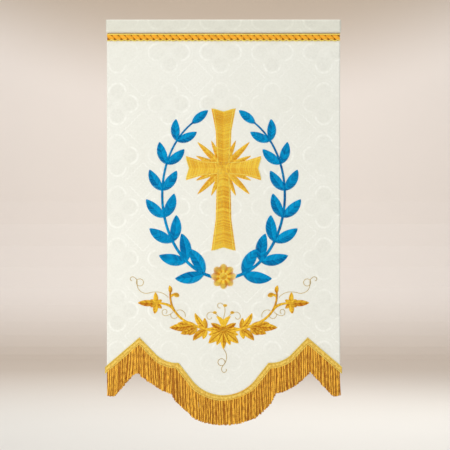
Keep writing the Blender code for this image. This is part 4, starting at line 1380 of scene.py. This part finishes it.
def leaf_from(root, row):
    """The threads of a leaf or petal that a table row describes, with a band of darker stitches along its midrib,
    painted shade, if it is broad.
    """
    angle = math.radians(row["angle"])
    bend = math.radians(row["bend"])
    stitches = leaf_stitches(root, angle, row["length"], row["width"], bend, start=0.08, tone=row["tone"])
    if row["width"] > VEINED_WIDTH:
        vein = [leaf_spine(Vector(root), angle, row["length"], bend, step / 16)[0] for step in range(3, 15)]
        # Painted shade: the vein is a band of much darker stitches along the midrib, where the leaf's two halves
        # meet.
        stitches += band_stitches(vein, VEIN_WIDTH, STEM_SLANT, PADDING * 1.15, -0.75)
    return stitches


def garland_stitches():
    shoot = (bezier(GARLAND_STEM, SHOOT_PLACE), *GARLAND_SHOOT)
    star = Vector(GARLAND_SHOOT[-1])
    bud = bezier(GARLAND_STEM, GARLAND_BUD["along"])
    bud += heading(math.radians(GARLAND_BUD["angle"])) * GARLAND_BUD["reach"]
    blossom = Vector((0.0, BLOSSOM_CENTRE))
    half = []
    for row in GARLAND_LEAVES:
        half += leaf_from(bezier(GARLAND_STEM, row["along"]), row)
    for row in STAR_PETALS:
        half += leaf_from(star, row)
    for row in BLOSSOM_PETALS:
        half += leaf_from(blossom, row)
    for ends in (GARLAND_STEM, shoot):
        half += band_stitches(bezier_path(ends), GARLAND_STEM_WIDTH, STEM_SLANT, PADDING * 1.2, 0.05)
    half += disc_stitches(star, STAR_HEART, math.radians(35), PADDING * 1.25, -0.3)
    half += disc_stitches(bud, GARLAND_BUD["radius"], math.radians(20), PADDING * 1.2)
    stitches = mirrored(half) + leaf_from(blossom, BLOSSOM_KEEL)
    for dot in BUD_DOTS:
        stitches += disc_stitches(Vector(dot), BUD_DOT_RADIUS, 0.0, PADDING * 0.8, 0.25)
    return stitches + disc_stitches(blossom, BLOSSOM_HEART, math.radians(20), PADDING * 1.3, -0.05)


def curl(row):
    """A line of arcs from a table row: each arc runs for a length while it turns by some degrees."""
    place = Vector((row["x"], row["z"]))
    turn = math.radians(row["angle"])
    path = [place]
    for run, bend in row["arcs"]:
        steps = max(4, round(run / 0.0018))
        for _ in range(steps):
            turn += math.radians(bend) / steps / 2
            place = place + heading(turn) * run / steps
            turn += math.radians(bend) / steps / 2
            path.append(place)
    return path


def tendril_paths():
    paths = [curl(row) for row in TENDRILS]
    paths.append(circle_path(Vector((TENDRIL_LOOP["x"], TENDRIL_LOOP["z"])), TENDRIL_LOOP["radius"]))
    paths += [[Vector((-place.x, place.y)) for place in path] for path in paths]
    paths += [curl(row) for row in MIDDLE_TENDRILS]
    paths.append(circle_path(Vector((MIDDLE_LOOP["x"], MIDDLE_LOOP["z"])), MIDDLE_LOOP["radius"]))
    return paths


# The tendrils' cord gets the same painted shade where it lies low.
tendril_gold = make_trim("tendril_gold", (0.56, 0.38, 0.07), (0.74, 0.54, 0.14), 620.0, 0.0010)
gold_thread = make_thread("gold_thread", (0.50, 0.115, 0.001), (1.0, 0.64, 0.045), GOLD_GLOSS, 0.05)
gold_stitch = satin_tree(gold_thread)
embroidery.append(sewn("garland_satin", garland_stitches(), gold_stitch, "gold_thread", "garland"))
tendrils = couched(
    "tendrils", tendril_paths(), TENDRIL_RADIUS, cord_tree(tendril_gold), "gold_thread", "garland", lift=0.0004
)
embroidery.append(tendrils)


# The seams. Running stitch in ivory thread goes through the sleeve just under its batten, front
# and back, and down the turned hem on each side of the panel, at the back.
SEAM_PITCH = 0.0046
SEAM_STITCH = 0.0032
SEAM_THREAD = 0.0008
SEAM_HEIGHT = -0.0335
SEAM_TO_EDGE = 0.0125
SEAM_SUNK = 0.0001
HEM_SEAM_LOW = -0.990


def seam_tree(material):
    """Lays a short rounded thread on each point, turned to the way the seam runs there."""
    tree, given, result = new_tree("running_stitch", Length=SEAM_STITCH, Thread=SEAM_THREAD)
    bead = add(tree, "GeometryNodeMeshIcoSphere", {"Radius": 0.5, "Subdivisions": 1})
    thread = given.outputs["Thread"]
    size = add(tree, "ShaderNodeCombineXYZ", {"X": given.outputs["Length"], "Y": thread, "Z": thread})
    turn = add(tree, "ShaderNodeCombineXYZ", {"Y": named(tree, "turn")})
    laid = add(
        tree,
        "GeometryNodeInstanceOnPoints",
        {
            "Points": given.outputs["Geometry"],
            "Instance": bead.outputs["Mesh"],
            "Rotation": turn.outputs[0],
            "Scale": size.outputs[0],
        },
    )
    real = add(tree, "GeometryNodeRealizeInstances", {"Geometry": laid.outputs["Instances"]})
    return dressed(tree, result, real.outputs["Geometry"], material)


def seam(name, places, turn, tree):
    """Running stitch at the places, all of one direction."""
    turns = [turn] * len(places)
    shades = [MEAN_SHADE + next_lot() for _ in places]
    stitches = grown(point_object(name, places, turn=turns, shade=shades), tree)
    fit_piece(stitches, "ivory_brocade")
    return stitches


def sleeve_seam(side):
    """Places along the sleeve's front wall for side -1, or along its back wall for side 1."""
    face = side * (SLEEVE_HOLLOW / 2 + SLEEVE_CLOTH - SEAM_SUNK)
    count = round((SLEEVE_WIDTH - 2 * SEAM_PITCH) / SEAM_PITCH)
    places = []
    for step in range(count):
        x = SEAM_PITCH * (step - (count - 1) / 2)
        slack = SLEEVE_SLACK * math.sin(math.tau * x / SLEEVE_SLACK_LENGTH + 1.1)
        places.append(Vector((x, face + slack * smooth_ramp(-SEAM_HEIGHT / SLEEVE_HEIGHT), SEAM_HEIGHT)))
    return places


def hem_seam(side):
    """Places down the turned hem on one side of the panel's back."""
    x = side * (CLOTH_WIDTH / 2 - SEAM_TO_EDGE)
    face = PANEL_FRONT + CLOTH_THICKNESS - SEAM_SUNK
    count = int((-SLEEVE_HEIGHT - SEAM_PITCH - HEM_SEAM_LOW) / SEAM_PITCH)
    levels = [HEM_SEAM_LOW + SEAM_PITCH * step for step in range(count)]
    return [Vector((x, face + drape(x, z), z)) for z in levels]


IVORY_GLOSS = (1.0, 0.98, 0.92, 1.0)
ivory_thread = make_thread("ivory_thread", (0.62, 0.60, 0.50), (0.90, 0.89, 0.82), IVORY_GLOSS, 0.0)
running = seam_tree(ivory_thread)
seams = [
    seam("sleeve_front_seam", sleeve_seam(-1), 0.0, running),
    seam("sleeve_back_seam", sleeve_seam(1), 0.0, running),
    seam("hem_seams", hem_seam(-1) + hem_seam(1), math.pi / 2, running),
]
